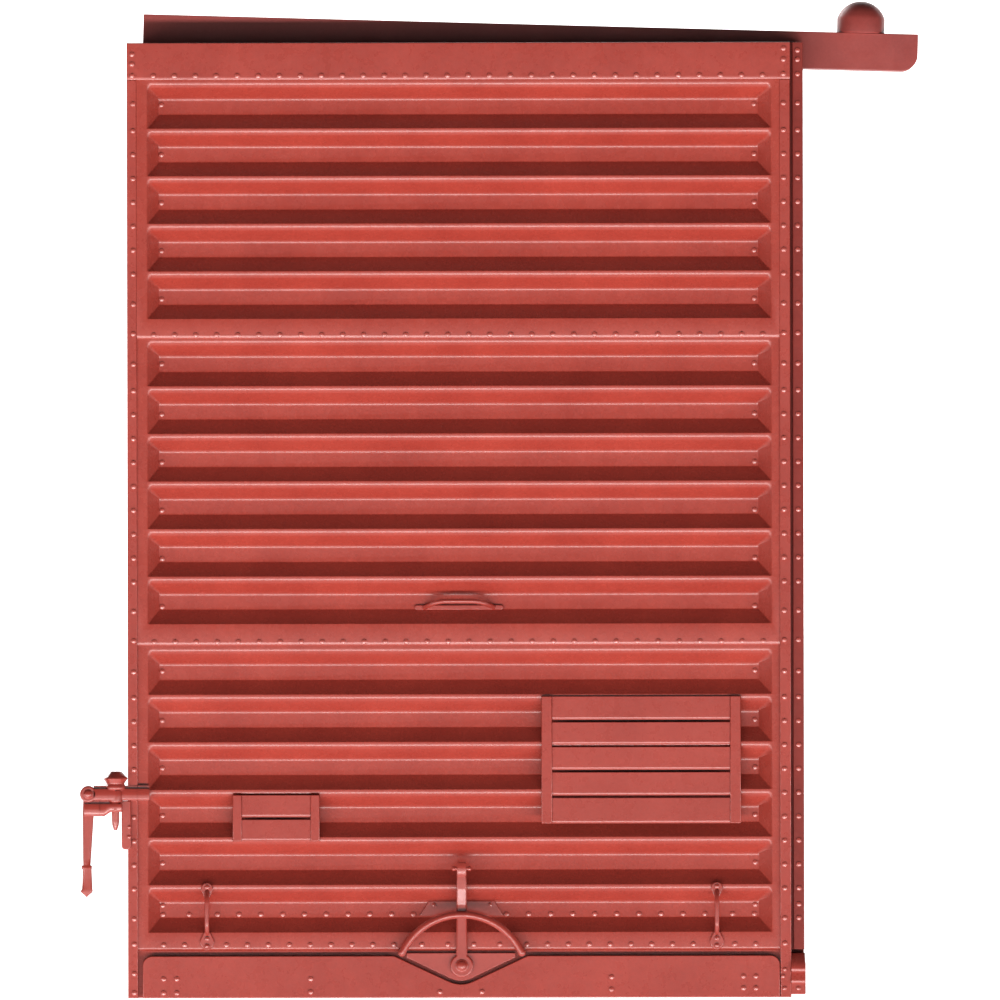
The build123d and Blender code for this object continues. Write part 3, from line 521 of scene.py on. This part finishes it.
def merge_by_distance(mesh):
    # closes the seams between cells and turns every face to the front
    bm = bmesh.new()
    bm.from_mesh(mesh)
    bmesh.ops.remove_doubles(bm, verts=bm.verts, dist=0.002 * MM)
    bmesh.ops.recalc_face_normals(bm, faces=bm.faces)
    facing = sum(f.normal.y * f.calc_area() for f in bm.faces)
    if facing > 0:
        bmesh.ops.reverse_faces(bm, faces=bm.faces)
    bm.to_mesh(mesh)
    bm.free()


pressed_sheet("upper_sheet_pressed", "upper_sheet", SHEET_FRONTS[0], TOP_SEAM + 0.40, UPPER_SEAM,
              FIRST_POCKETS["upper"], 5)
pressed_sheet("middle_sheet_pressed", "middle_sheet", SHEET_FRONTS[1], UPPER_SEAM + 0.50, MIDDLE_SEAM,
              FIRST_POCKETS["middle"], 6)
pressed_sheet("lower_sheet_pressed", "lower_sheet", SHEET_FRONTS[2], MIDDLE_SEAM + 0.50, RABBET_TOP,
              FIRST_POCKETS["lower"], 6, RABBET)


# ---------------------------------------------------------------- rails and uprights
# top rail: its lower edge steps back where it laps the upper sheet
rail_x = span("top_rail")[0]
part = Shape()
front = TOP_RAIL_FRONT
section = [(TOP_RAIL_BACK, DOOR_TOP), (front + 0.05, DOOR_TOP), (front + 0.015, DOOR_TOP - 0.015),
           (front, DOOR_TOP - 0.05), (front, TOP_SEAM + 0.13), (front + 0.018, TOP_SEAM + 0.05),
           (front + 0.03, TOP_SEAM + 0.01), (front + 0.045, TOP_SEAM), (TOP_RAIL_BACK, TOP_SEAM)]
part.bar_along_x(section, *rail_x)
part.make("top_rail_moulded", FRAME_MAT, "door", ["top_rail"])

# header and sill angles behind the rails
part = Shape()
part.box(*SHEET_X, TOP_RAIL_BACK, DOOR_BACK, DOOR_TOP - ANGLE_LEG, DOOR_TOP, 0.03)
part.box(*SHEET_X, DOOR_BACK - ANGLE_WEB, DOOR_BACK, span("header_angle")[2][0], DOOR_TOP - 0.03, 0.03)
part.make("header_angle_moulded", FRAME_MAT, "door", ["header_angle"])

part = Shape()
part.box(*SHEET_X, SILL_FRONT, DOOR_BACK, 0.0, ANGLE_LEG, 0.03)
part.box(*SHEET_X, SILL_FRONT, SILL_FRONT + ANGLE_WEB, 0.02, 1.50, 0.03)
part.make("sill_angle_moulded", FRAME_MAT, "door", ["sill_angle"])

# stiles: a web on each side of the sheets, and a flange behind the sheets' ends
flange = (FLOOR_Y + SHEET_WALL, FLOOR_Y + SHEET_WALL + 0.20, 0.30, DOOR_TOP - 0.30)
stiles = (("left_stile", (DOOR_LEFT, SHEET_X[0]), (SHEET_X[0], span("left_stile")[0][1])),
          ("right_stile", (SHEET_X[1], RIGHT_STILE_EDGE), (span("right_stile")[0][0], SHEET_X[1])))
for node, web, reach in stiles:
    part = Shape()
    part.box(*web, STILE_FRONT, DOOR_BACK, 0.0, TOP_SEAM, 0.025)
    part.box(*web, TOP_RAIL_BACK, DOOR_BACK, TOP_SEAM - 0.02, DOOR_TOP, 0.02)
    part.box(*reach, *flange, 0.03)
    part.make(node + "_moulded", FRAME_MAT, "door", [node])

# edge strip: stands back beside the stile, with a narrow groove between them
part = Shape()
part.box(RIGHT_STILE_EDGE, DOOR_RIGHT, STRIP_GAP_FLOOR, DOOR_BACK, span("edge_strip")[2][0], DOOR_TOP, 0.02)
part.box(RIGHT_STILE_EDGE, DOOR_RIGHT, STRIP_FLOOR, STRIP_GAP_FLOOR + 0.02, STRIP_BOTTOM, DOOR_TOP, 0.02)
part.box(RIGHT_STILE_EDGE + STRIP_GROOVE, DOOR_RIGHT, STRIP_FRONT, STRIP_FLOOR + 0.04, STRIP_BOTTOM, DOOR_TOP,
         0.035)
# the edge strip takes the darker copy of the oxide red, painted shade for its recess
part.make("edge_strip_moulded", SHADED_EDGE_MAT, "door", ["edge_strip"])

# bottom rail: rounded shoulders and a soft V-notch
rail_left, rail_right = span("bottom_rail")[0]
notch = [(NOTCH_X + NOTCH_HALF, RAIL_TOP), (NOTCH_X, NOTCH_TIP), (NOTCH_X - NOTCH_HALF, RAIL_TOP)]
notch = soften(notch, 0.50, 8, closed=False)
outline = [(rail_left, 0.0), (rail_right, 0.0)]
shoulder_z = RAIL_TOP - RAIL_SHOULDER
outline += circle(rail_right - RAIL_SHOULDER, shoulder_z, RAIL_SHOULDER, 8, 0, math.pi / 2)
outline += notch
outline += circle(rail_left + RAIL_SHOULDER, shoulder_z, RAIL_SHOULDER, 8, math.pi / 2, math.pi)
part = Shape()
part.plate([outline], RAIL_FRONT, RABBET, 0.035, 4, back_bevel=0.01)
part.make("bottom_rail_moulded", FRAME_MAT, "door", ["bottom_rail"])

# corner shoe: its front slopes out to two lips, one above the other
shoe_right = span("corner_shoe")[0][1]
part = Shape()
section = [(DOOR_BACK, SHOE_BOTTOM), (STILE_FRONT + 0.03, SHOE_BOTTOM), (STILE_FRONT, 0.14),
           (STILE_FRONT, 0.49), (-0.135, 0.505), (-0.17, 0.52), (-0.20, 0.60), (-0.20, 0.66),
           (STILE_FRONT, 0.90), (STILE_FRONT, 0.92), (-0.14, 0.935), (-0.25, 0.96), (-0.28, 1.05),
           (-0.28, 1.09), (-0.20, 1.30), (STRIP_FLOOR, SHOE_TOP), (DOOR_BACK, SHOE_TOP)]
part.bar_along_x(section, RIGHT_STILE_EDGE, shoe_right - 0.02)
part.box(shoe_right - 0.06, shoe_right, STILE_FRONT + 0.02, DOOR_BACK, 0.13, 1.28, 0.04)
part.make("corner_shoe_moulded", FRAME_MAT, "door", ["corner_shoe"])


# ---------------------------------------------------------------- lever, guard and plates
# lever plate: five-sided, with a wide rounded point in the rail's notch
part = Shape()
plate_left, plate_right = NOTCH_X - PLATE_HALF, NOTCH_X + PLATE_HALF
wing = [(plate_left, PLATE_SHOULDER), (NOTCH_X, PLATE_TIP), (plate_right, PLATE_SHOULDER)]
outline = [(plate_left, PLATE_TOP)] + soften(wing, 0.42, 8, closed=False) + [(plate_right, PLATE_TOP)]
part.plate([outline, circle(*PIVOT, 0.12, 24)], -0.06, RABBET, 0.022)
part.make("lever_plate_moulded", HARDWARE_MAT, "door", ["lever_plate"])

# wear plate on the lowest pocket's floor, above the guard
part = Shape()
wear = [(-1.72, 3.03), (-1.41, 3.57), (1.06, 3.57), (1.37, 3.03)]
part.plate([wear], *span("guard_plate")[1], 0.02)
part.make("guard_plate_moulded", HARDWARE_MAT, "door", ["guard_plate"])

# arc guard: a bowed rod with a turned leg at each end
part = Shape()
gx, gz = GUARD_CENTRE
sweep = [GUARD_END + (math.pi - 2 * GUARD_END) * k / 48 for k in range(49)]
bow = [(gx + GUARD_RADIUS * math.cos(a), GUARD_Y, gz + GUARD_RADIUS * math.sin(a)) for a in sweep]
part.tube(bow, GUARD_ROD, 20)
for foot in (bow[0], bow[-1]):
    leg = [(0.0, GUARD_Y - 0.12), (0.07, GUARD_Y - 0.115), (0.12, GUARD_Y - 0.085),
           (0.145, GUARD_Y - 0.03), (0.15, -0.08), (0.153, -0.05), (0.16, -0.04), (0.16, 0.0)]
    part.turned(leg, (foot[0], 0.0, foot[2]), (0, 1, 0), 28)
part.make("arc_guard_rod", HARDWARE_MAT, "door", ["arc_guard"], weighted=False)

# opening lever: a blade round the pivot, then a bar cranked outwards to a thicker head
part = Shape()
x, z = PIVOT
blade = circle(x, z, 0.43, 40, math.radians(120), math.radians(420))
blade += [(x + 0.212, 1.62), (x + 0.195, 3.49), (x - 0.195, 3.49), (x - 0.212, 1.62)]
part.plate([blade, circle(x, z, 0.15, 28)], LEVER_FRONT, LEVER_BACK, 0.055, 4)
lever = [(3.40, 0.190, -0.004), (3.49, 0.194, 0.004), (3.54, 0.193, 0.02)]
lever += [(4.02, 0.190, 0.152), (4.07, 0.189, LEVER_OFFSET), (4.98, 0.185, LEVER_OFFSET),
          (5.05, 0.14, LEVER_OFFSET)]
part.bar([(h, x - w, x + w, LEVER_FRONT - out, LEVER_BACK - out) for h, w, out in lever], 0.058)
head = LEVER_FRONT - LEVER_OFFSET
part.bar([(h, x - w, x + w, head - out, head + 0.03) for h, w, out in
          ((4.50, 0.15, 0.0), (4.60, 0.185, 0.08), (4.97, 0.185, 0.08), (5.04, 0.15, 0.04))], 0.06)
part.make("opening_lever_forged", HARDWARE_MAT, "lever", ["opening_lever"])

part = Shape()
grip_y = (LEVER_FRONT + LEVER_BACK - 0.08) / 2 - LEVER_OFFSET
part.turned([(0.0, 0.0), (0.05, 0.005), (0.083, 0.03), (0.095, 0.075), (0.088, 0.115), (0.07, 0.15),
             (0.07, 0.59), (0.088, 0.625), (0.095, 0.665), (0.083, 0.71), (0.05, 0.735), (0.0, 0.74)],
            (x - 0.37, grip_y, 4.80), (1, 0, 0), 24)
part.make("lever_grip_pin_turned", HARDWARE_MAT, "lever", ["lever_grip_pin"],
          weighted=False)

part = Shape()
part.turned([(0.125, 0.06), (0.30, 0.06), (0.30, 0.08), (0.29, 0.09), (0.125, 0.09)], (x, 0, z), (0, -1, 0))
part.make("pivot_washer_turned", HARDWARE_MAT, "door", ["pivot_washer"])

part = Shape()
part.turned([(0.0, -0.40), (0.12, -0.40), (0.12, 0.23), (0.24, 0.23), (0.24, 0.255), (0.225, 0.27),
             (0.19, 0.275), (0.185, 0.30), (0.16, 0.34), (0.11, 0.372), (0.05, 0.387), (0.0, 0.39)],
            (x, 0, z), (0, -1, 0), 36)
part.make("pivot_bolt_turned", HARDWARE_MAT, "door", ["pivot_bolt"])

part = Shape()
part.plate([circle(x, z, 0.25, 6), circle(x, z, 0.12, 24)], 0.40, 0.60, 0.02)
part.make("pivot_nut_hexagon", HARDWARE_MAT, "door", ["pivot_nut"])


# ---------------------------------------------------------------- grab irons and handles
def grab_iron(x, node):
    # a bent rod between two feet, the upper one drop-shaped, the lower one like a shield
    part = Shape()
    reach = span(node)[1][0] + 0.09
    path = [(x, -0.03, 3.96), (x, reach, 3.70), (x, reach, 2.66), (x, -0.03, 2.38)]
    part.tube(soften(path, 0.16, 6, closed=False), 0.09, 18)
    drop = circle(x, 4.06, 0.22, 18, math.radians(-15), math.radians(195))
    drop += [(x - 0.10, 3.72), (x + 0.10, 3.72)]
    part.plate([drop], FOOT_FRONT, 0.0, 0.03)
    shield = [(x - 0.10, 2.48), (x - 0.28, 2.12), (x - 0.24, 1.92), (x - 0.08, 1.76),
              (x + 0.08, 1.76), (x + 0.24, 1.92), (x + 0.28, 2.12), (x + 0.10, 2.48)]
    part.plate([soften(shield, 0.10, 3)], FOOT_FRONT, 0.0, 0.035)
    part.make(node + "_rod", HARDWARE_MAT, "door", [node])


grab_iron(GRAB_X[0], "left_grab_iron")
grab_iron(GRAB_X[1], "right_grab_iron")

part = Shape()
for x in GRAB_X:
    for z in (4.12, 2.20, 1.93):
        part.dome(x, z, FOOT_FRONT, 0.09, 0.07)
part.make("grab_iron_bolt_heads", HARDWARE_MAT, "door", ["grab_iron_bolts"],
          weighted=False)

part = Shape()
part.plate([rectangle(-1.90, 1.40, 14.40, 14.58, 0.08)], FLOOR_Y - 0.10, FLOOR_Y, 0.03)
path = [(-1.55, FLOOR_Y - 0.05, 14.49), (-1.00, -0.10, 14.73), (0.50, -0.10, 14.73),
        (1.05, FLOOR_Y - 0.05, 14.49)]
part.tube(soften(path, 0.35, 8, closed=False), 0.09, 18)
part.make("pull_handle_bow", HARDWARE_MAT, "door", ["pull_handle"])


# ---------------------------------------------------------------- boards
def board(node, edges, gap, batten):
    # planks with open joints between two end battens; each plank's lower edge is well rounded
    (x0, x1), (front, back), (z0, z1) = span(node + "_planks")
    batten_front = span(node + "_battens")[1][0]
    part = Shape()
    for low, high in zip(edges[:-1], edges[1:]):
        low = low if low == edges[0] else low + gap / 2
        high = high if high == edges[-1] else high - gap / 2
        section = [(back, low), (front + 0.05, low), (front + 0.035, low + 0.004), (front + 0.02, low + 0.03),
                   (front + 0.002, low + 0.09), (front, low + 0.11), (front, high - 0.02),
                   (front + 0.02, high), (back, high)]
        part.bar_along_x(section[::-1], x0, x1)
    part.make(node + "_plank_set", FRAME_MAT, "door", [node + "_planks"])
    part = Shape()
    for x in (x0, x1 - batten):
        part.box(x, x + batten, batten_front, front, edges[0], edges[-1], 0.03)
    part.make(node + "_batten_pair", FRAME_MAT, "door", [node + "_battens"])


board("card_board", [5.82, 6.67, 7.54], 0.08, 0.34)
board("placard", [6.46, 7.46, 8.41, 9.35, 10.27, 11.19], 0.08, 0.40)


# ---------------------------------------------------------------- latch
def forged(front, low, high, back, upper=0.11, lower=0.08):
    # section of a forged strip as (y, z): a deep rabbet above, a rounded edge below
    step = high - upper
    return [(back, high), (front + 0.15, high), (front + 0.15, step), (front + 0.012, step - 0.004),
            (front, step - 0.02), (front, low + lower), (front + 0.010, low + lower * 0.6),
            (front + 0.034, low + lower * 0.18), (front + 0.05, low + 0.01), (front + 0.07, low), (back, low)]


# hasp strap: an eye on the handle's pin, a strip over the stile and a ring for the drop pin
part = Shape()
part.plate([circle(*LATCH_PIN, 0.31, 36), circle(*LATCH_PIN, 0.10, 20)], STRAP_FRONT, STRAP_BACK, 0.06, 4)
part.bar_along_x(forged(STRAP_FRONT, STRAP_LOW, STRAP_HIGH, STRAP_BACK), LATCH_PIN[0] + 0.20, DROP_PIN[0])
tail = forged(TAIL_FRONT, STRAP_LOW, STRAP_HIGH, 0.0)
part.bar_along_x([(min(y, -0.12), z) for y, z in tail], -13.60, -12.20)
part.bar_along_x(tail, -12.21, -11.76)
part.turned([(0.17, 0.0), (0.24, 0.0), (0.262, 0.025), (0.27, 0.06), (0.27, 0.34), (0.262, 0.38),
             (0.235, 0.43), (0.22, 0.44), (0.17, 0.44), (0.17, 0.0)], (*DROP_PIN, RING_LOW), (0, 0, 1), 32)
part.make("hasp_strap_forged", HARDWARE_MAT, "door", ["hasp_strap"])

# latch bracket: an arm under the strap, its ring, and a foot down the stile
part = Shape()
part.bar_along_x(forged(STRAP_FRONT, ARM_LOW, STRAP_LOW, STRAP_BACK, 0.11, 0.20), -14.17, -13.58)
rings = []
arm = ((-13.60, ARM_LOW), (-13.44, ARM_LOW), (-13.38, 6.80), (-13.24, 6.90), (-13.18, ARM_RING_LOW),
       (-12.79, ARM_RING_LOW))
for x, low in arm:
    section = forged(STRAP_FRONT, low, STRAP_LOW, BRACKET_BACK, 0.11, 0.16)
    rings.append([(x, min(y, -0.13), z) for y, z in section])
part.stack(rings, True, True)
foot_top = STRAP_LOW - 0.01
foot = [(-12.79, foot_top), (-12.79, 5.53), (-12.44, 5.53), (-12.44, foot_top)]
part.plate([soften(foot, 0.20, 5, closed=False)], BRACKET_FRONT, BRACKET_BACK, 0.03)
part.box(-12.66, -12.54, -0.13, 0.80, 5.75, 7.22, 0.03)
part.turned([(0.17, 0.0), (0.23, 0.0), (0.26, 0.03), (0.27, 0.08), (0.27, 0.26), (0.25, 0.32), (0.22, 0.35),
             (0.17, 0.35), (0.17, 0.0)], (*DROP_PIN, ARM_RING_LOW), (0, 0, 1), 32)
part.make("latch_bracket_forged", HARDWARE_MAT, "door", ["latch_bracket"])

part = Shape()
part.dome(-12.51, 6.36, BRACKET_FRONT, 0.07, 0.05)
part.dome(-12.51, 6.00, BRACKET_FRONT, 0.07, 0.05)
part.make("bracket_rivet_heads", HARDWARE_MAT, "door", ["bracket_rivets"],
          weighted=False)

# hanging latch handle: an eye, and a stem with a collar and a pointed tip
part = Shape()
eye = [circle(*LATCH_PIN, 0.29, 36), circle(*LATCH_PIN, 0.13, 24)]
part.plate(eye, HANDLE_FRONT, HANDLE_BACK, 0.05, 4)
stem = [(7.36, -14.22, -13.82), (6.90, -14.24, -13.82), (5.20, -14.23, -13.93), (4.95, -14.22, -13.95),
        (4.93, -14.28, -13.90), (4.81, -14.28, -13.90), (4.79, -14.24, -13.91), (4.30, -14.25, -13.89),
        (4.06, -14.27, -13.88), (3.98, -14.33, -13.87), (3.93, -14.29, -13.90), (3.83, -14.17, -14.02),
        (3.77, -14.11, -14.07)]
part.bar([(h, x0, x1, HANDLE_FRONT, HANDLE_BACK) for h, x0, x1 in stem], 0.085)
part.make("latch_handle_forged", HARDWARE_MAT, "swinging_handle", ["latch_handle"])

part = Shape()
face = -STRAP_FRONT
part.turned([(0.0, -0.02), (0.16, -0.02), (0.18, 0.0), (0.18, 0.04), (0.10, 0.04), (0.10, face), (0.18, face),
             (0.18, face + 0.025), (0.165, face + 0.04), (0.15, face + 0.05), (0.135, face + 0.08),
             (0.09, face + 0.11), (0.0, face + 0.12)], (LATCH_PIN[0], 0, LATCH_PIN[1]), (0, -1, 0), 28)
part.make("latch_handle_pin_turned", HARDWARE_MAT, "door", ["latch_handle_pin"])

part = Shape()
part.turned([(0.0, 6.24), (0.06, 6.25), (0.12, 6.44), (0.14, 6.60), (0.14, 7.74), (0.33, 7.74),
             (0.365, 7.765), (0.38, 7.80), (0.38, 7.87), (0.355, 7.92), (0.335, 7.95), (0.335, 7.98),
             (0.36, 8.03), (0.43, 8.12), (0.458, 8.16), (0.45, 8.19), (0.40, 8.23), (0.24, 8.41),
             (0.20, 8.43), (0.0, 8.43)],
            (*DROP_PIN, 0), (0, 0, 1), 36)
part.make("drop_pin_turned", HARDWARE_MAT, "lifting_pin", ["drop_pin"])


# ---------------------------------------------------------------- rivets
seam_x = evenly(-11.57, 0.780, 30)
stile_z = [33.21] + evenly(32.21, -0.888, 7) + [25.77, 24.67]
stile_z += [23.54] + evenly(22.55, -0.888, 9) + [14.36, 13.27]
stile_z += [12.11] + evenly(11.15, -0.888, 9) + [2.94, 2.00]
left_z = [z for z in stile_z + [0.91, 0.20] if not STRAP_LOW < z < STRAP_HIGH + 0.1]
pocket_z = [33.20] + evenly(31.34, -1.79, 4) + [23.56] + evenly(21.69, -1.79, 5)
pocket_z += [12.13] + evenly(10.30, -1.77, 4) + [3.42]
band_x = evenly(-11.24, 0.777, 12) + evenly(-1.65, 0.965, 4) + evenly(2.25, 0.773, 12)
band_x = [x for x in band_x if all(abs(x - g) > 0.40 for g in GRAB_X)]
rail_ends = [(-12.36, z) for z in (35.05, 34.69, 34.26)]
rail_ends += [(RIGHT_RIVET_X, z) for z in (35.24, 34.83, 34.29)]
strip_z = [z for z in stile_z + [35.17, 34.83, 34.29, 3.45] if z > 2.1]
floor_x = [-11.28, -10.31, -9.25] + evenly(-8.45, 0.81, 9) + evenly(1.50, 0.82, 10) + [9.90, 10.72]
rail_spots = [(-11.24, 0.71), (-10.75, 0.71), (-11.24, 0.19), (-10.75, 0.19), (-5.78, 0.71), (-5.78, 0.22),
              (-0.98, 0.22), (0.58, 0.22), (5.39, 0.76), (5.39, 0.30), (10.29, 0.78), (10.75, 0.78),
              (10.29, 0.34), (10.75, 0.34)]
rivet_rows = [
    ("top_seam_rivets", [(x, TOP_SEAM + SEAM_RIVET_RISE) for x in seam_x] + rail_ends, TOP_RAIL_FRONT, RIVET),
    ("upper_seam_rivets", [(x, UPPER_SEAM + SEAM_RIVET_RISE) for x in seam_x], SHEET_FRONTS[0], RIVET),
    ("middle_seam_rivets", [(x, MIDDLE_SEAM + SEAM_RIVET_RISE) for x in seam_x], SHEET_FRONTS[1], RIVET),
    ("floor_rivets", [(x, 3.08) for x in floor_x], FLOOR_Y, RIVET),
    ("band_rivets", [(x, 1.97) for x in band_x], SHEET_FRONTS[2], RIVET),
    ("guard_plate_rivets", [(-1.20, 3.43), (0.89, 3.43)], span("guard_plate")[1][0], SMALL_RIVET),
    ("pocket_end_rivets", [(x, z) for z in pocket_z for x in (-11.29, 10.75)], FLOOR_Y, RIVET),
    ("left_stile_rivets", [(-12.33, z) for z in left_z], STILE_FRONT, RIVET),
    ("right_stile_rivets", [(RIGHT_RIVET_X, z) for z in stile_z], STILE_FRONT, RIVET),
    ("edge_strip_rivets", [(12.36, z) for z in strip_z], STRIP_FRONT, RIVET),
    ("bottom_rail_rivets", rail_spots, RAIL_FRONT, RIVET),
    ("shoe_rivets", [(RIGHT_RIVET_X, 1.03), (11.76, 0.78), (11.82, 0.33), (12.33, 0.33)], STILE_FRONT,
     SMALL_RIVET),
]
for node, spots, face, (radius, height) in rivet_rows:
    part = Shape()
    for x, z in spots:
        part.dome(x, z, face, radius, height)
    # rivet heads take the lighter copy of the oxide red, a painted highlight
    part.make(node + "_heads", RIVET_PAINTED_GLINT_MAT, "door", [node], weighted=False)


# ---------------------------------------------------------------- guide bar, knob and hangers
def on_bar(along, across, y):
    # a place measured along and across the sloping bar
    c, s = math.cos(BAR_SLOPE), math.sin(BAR_SLOPE)
    return (BAR_CENTRE[0] + along * c + across * s, y, BAR_CENTRE[1] - along * s + across * c)


half, tall = BAR_LENGTH / 2, BAR_HEIGHT / 2
bar_outline = [(-half, -tall)]
bar_outline += circle(half - BAR_CORNER, -tall + BAR_CORNER, BAR_CORNER, 10, -math.pi / 2, 0)
bar_outline += [(half, tall), (-half, tall)]
part = Shape()
part.plate([bar_outline], BAR_FRONT, BAR_BACK - GROOVE_DEPTH, 0.025, 3, place=on_bar, back_bevel=0.01)
groove = rectangle(-12.60, 13.45, -0.23, 0.23)
part.plate([bar_outline, groove], BAR_BACK - GROOVE_DEPTH - 0.02, BAR_BACK, 0.01, 4, place=on_bar,
           back_bevel=0.04)
part.make("guide_bar_moulded", GUIDE_MAT, "guide", ["guide_bar"])

# locating knob: a short pin with a domed head, upright on the bar
part = Shape()
knob_base = on_bar(KNOB_ALONG, tall, (BAR_FRONT + BAR_BACK) / 2)
knob_axis = (math.sin(BAR_SLOPE), 0, math.cos(BAR_SLOPE))
profile = [(0.0, 0.0), (KNOB_RADIUS - 0.03, 0.0), (KNOB_RADIUS, 0.03), (KNOB_RADIUS, KNOB_SIDE)]
cap = KNOB_HEIGHT - KNOB_SIDE
dome_radius = (cap ** 2 + KNOB_RADIUS ** 2) / (2 * cap)
dome_centre = KNOB_HEIGHT - dome_radius
widest = math.atan2(KNOB_RADIUS, KNOB_SIDE - dome_centre)
for k in range(1, 13):
    a = widest * (1 - k / 12)
    profile.append((dome_radius * math.sin(a), dome_centre + dome_radius * math.cos(a)))
part.turned(profile, knob_base, knob_axis, 48)
part.make("locating_knob_moulded", GUIDE_MAT, "guide", ["locating_knob"])


def hanger(along, node):
    # a strap bent under the bar and up its back, with a tongue in the groove
    part = Shape()
    low, high = along - HANGER_HALF, along + HANGER_HALF
    under = -tall - 0.05
    foot = rectangle(low, high, -tall - 1.10, -tall - 0.10, 0.08)
    part.plate([foot], DOOR_BACK, BAR_FRONT, 0.03, place=on_bar)
    for bottom, top, front, back, bevel in (
            (under - 0.20, under, DOOR_BACK + 0.02, BAR_BACK + 0.24, 0.03),
            (under - 0.20, 0.18, BAR_BACK + 0.05, BAR_BACK + 0.25, 0.04),
            (-0.18, 0.18, BAR_BACK - 0.35, BAR_BACK + 0.10, 0.03)):
        part.plate([rectangle(low, high, bottom, top)], front, back, bevel, place=on_bar)
    part.make(node + "_bent", FRAME_MAT, "door", [node])


hanger(HANGER_ALONG[0], "left_hanger")
hanger(HANGER_ALONG[1], "right_hanger")

part = Shape()
for along in [centre + offset for centre in HANGER_ALONG for offset in (-0.55, 0.55)]:
    spot = on_bar(along, -tall - 0.85, 0)
    part.dome(spot[0], spot[2], BAR_FRONT, 0.16, 0.12, 1)
part.make("hanger_rivet_heads", HARDWARE_MAT, "door", ["hanger_rivets"],
          weighted=False)


# ---------------------------------------------------------------- stage, light and camera
def stage_mesh(name, verts, grey, strength):
    # one sheet of pale paper, in metres, that glows a little
    mesh = bpy.data.meshes.new(name)
    mesh.from_pydata(verts, [], [[0, 1, 2, 3]])
    obj = bpy.data.objects.new(name, mesh)
    bpy.context.scene.collection.objects.link(obj)
    mat = bpy.data.materials.new(name + "_paper")
    mat.use_nodes = True
    shader = mat.node_tree.nodes["Principled BSDF"]
    shader.inputs["Base Color"].default_value = (grey, grey, grey, 1)
    shader.inputs["Roughness"].default_value = 0.9
    shader.inputs["Emission Color"].default_value = (1, 1, 1, 1)
    shader.inputs["Emission Strength"].default_value = strength
    mesh.materials.append(mat)
    return obj


floor_corners = [(-2, -2, FLOOR_LEVEL), (2, -2, FLOOR_LEVEL), (2, 1.2, FLOOR_LEVEL), (-2, 1.2, FLOOR_LEVEL)]
floor = stage_mesh("pale_floor", floor_corners, 0.85, 0.80)
floor.visible_shadow = False
wall_corners = [(-2, 1.2, FLOOR_LEVEL), (2, 1.2, FLOOR_LEVEL), (2, 1.2, 1.5), (-2, 1.2, 1.5)]
stage_mesh("pale_wall", wall_corners, 0.9, 1.0)

world = bpy.data.worlds.new("studio_air")
bpy.context.scene.world = world
world.use_nodes = True
world.node_tree.nodes["Background"].inputs["Color"].default_value = (1, 1, 1, 1)
world.node_tree.nodes["Background"].inputs["Strength"].default_value = 0.05


def panel(name, place, target, width, height, watts):
    # a rectangular lamp at one place, aimed at another
    data = bpy.data.lights.new(name, "AREA")
    data.shape = "RECTANGLE"
    data.size, data.size_y = width, height
    data.energy = watts
    obj = bpy.data.objects.new(name, data)
    bpy.context.scene.collection.objects.link(obj)
    obj.location = place
    obj.rotation_mode = "QUATERNION"
    obj.rotation_quaternion = (Vector(target) - Vector(place)).to_track_quat("-Z", "Y")


middle = (0.0013, 0.0, 0.018)
lamp_place = (middle[0], -LAMP_DISTANCE * math.cos(LAMP_ANGLE),
              middle[2] - LAMP_DISTANCE * math.sin(LAMP_ANGLE))
panel("long_lamp", lamp_place, middle, 3.0, 0.07, LAMP_WATTS)
panel("back_light", (-0.5, 0.55, 0.45), middle, 0.5, 0.5, 3.0)

camera_data = bpy.data.cameras.new("camera")
camera = bpy.data.objects.new("camera", camera_data)
bpy.context.scene.collection.objects.link(camera)
bpy.context.scene.camera = camera
camera_data.lens = LENS
camera_data.sensor_width = SENSOR
camera.location = (CAMERA_X, -FIELD * LENS / SENSOR, CAMERA_Z)
camera.rotation_euler = (math.radians(90), CAMERA_ROLL, 0)
camera_data.clip_start, camera_data.clip_end = 0.01, 10
bpy.context.scene.view_settings.view_transform = "Standard"
bpy.context.scene.view_settings.gamma = 0.85

bpy.context.view_layer.update()
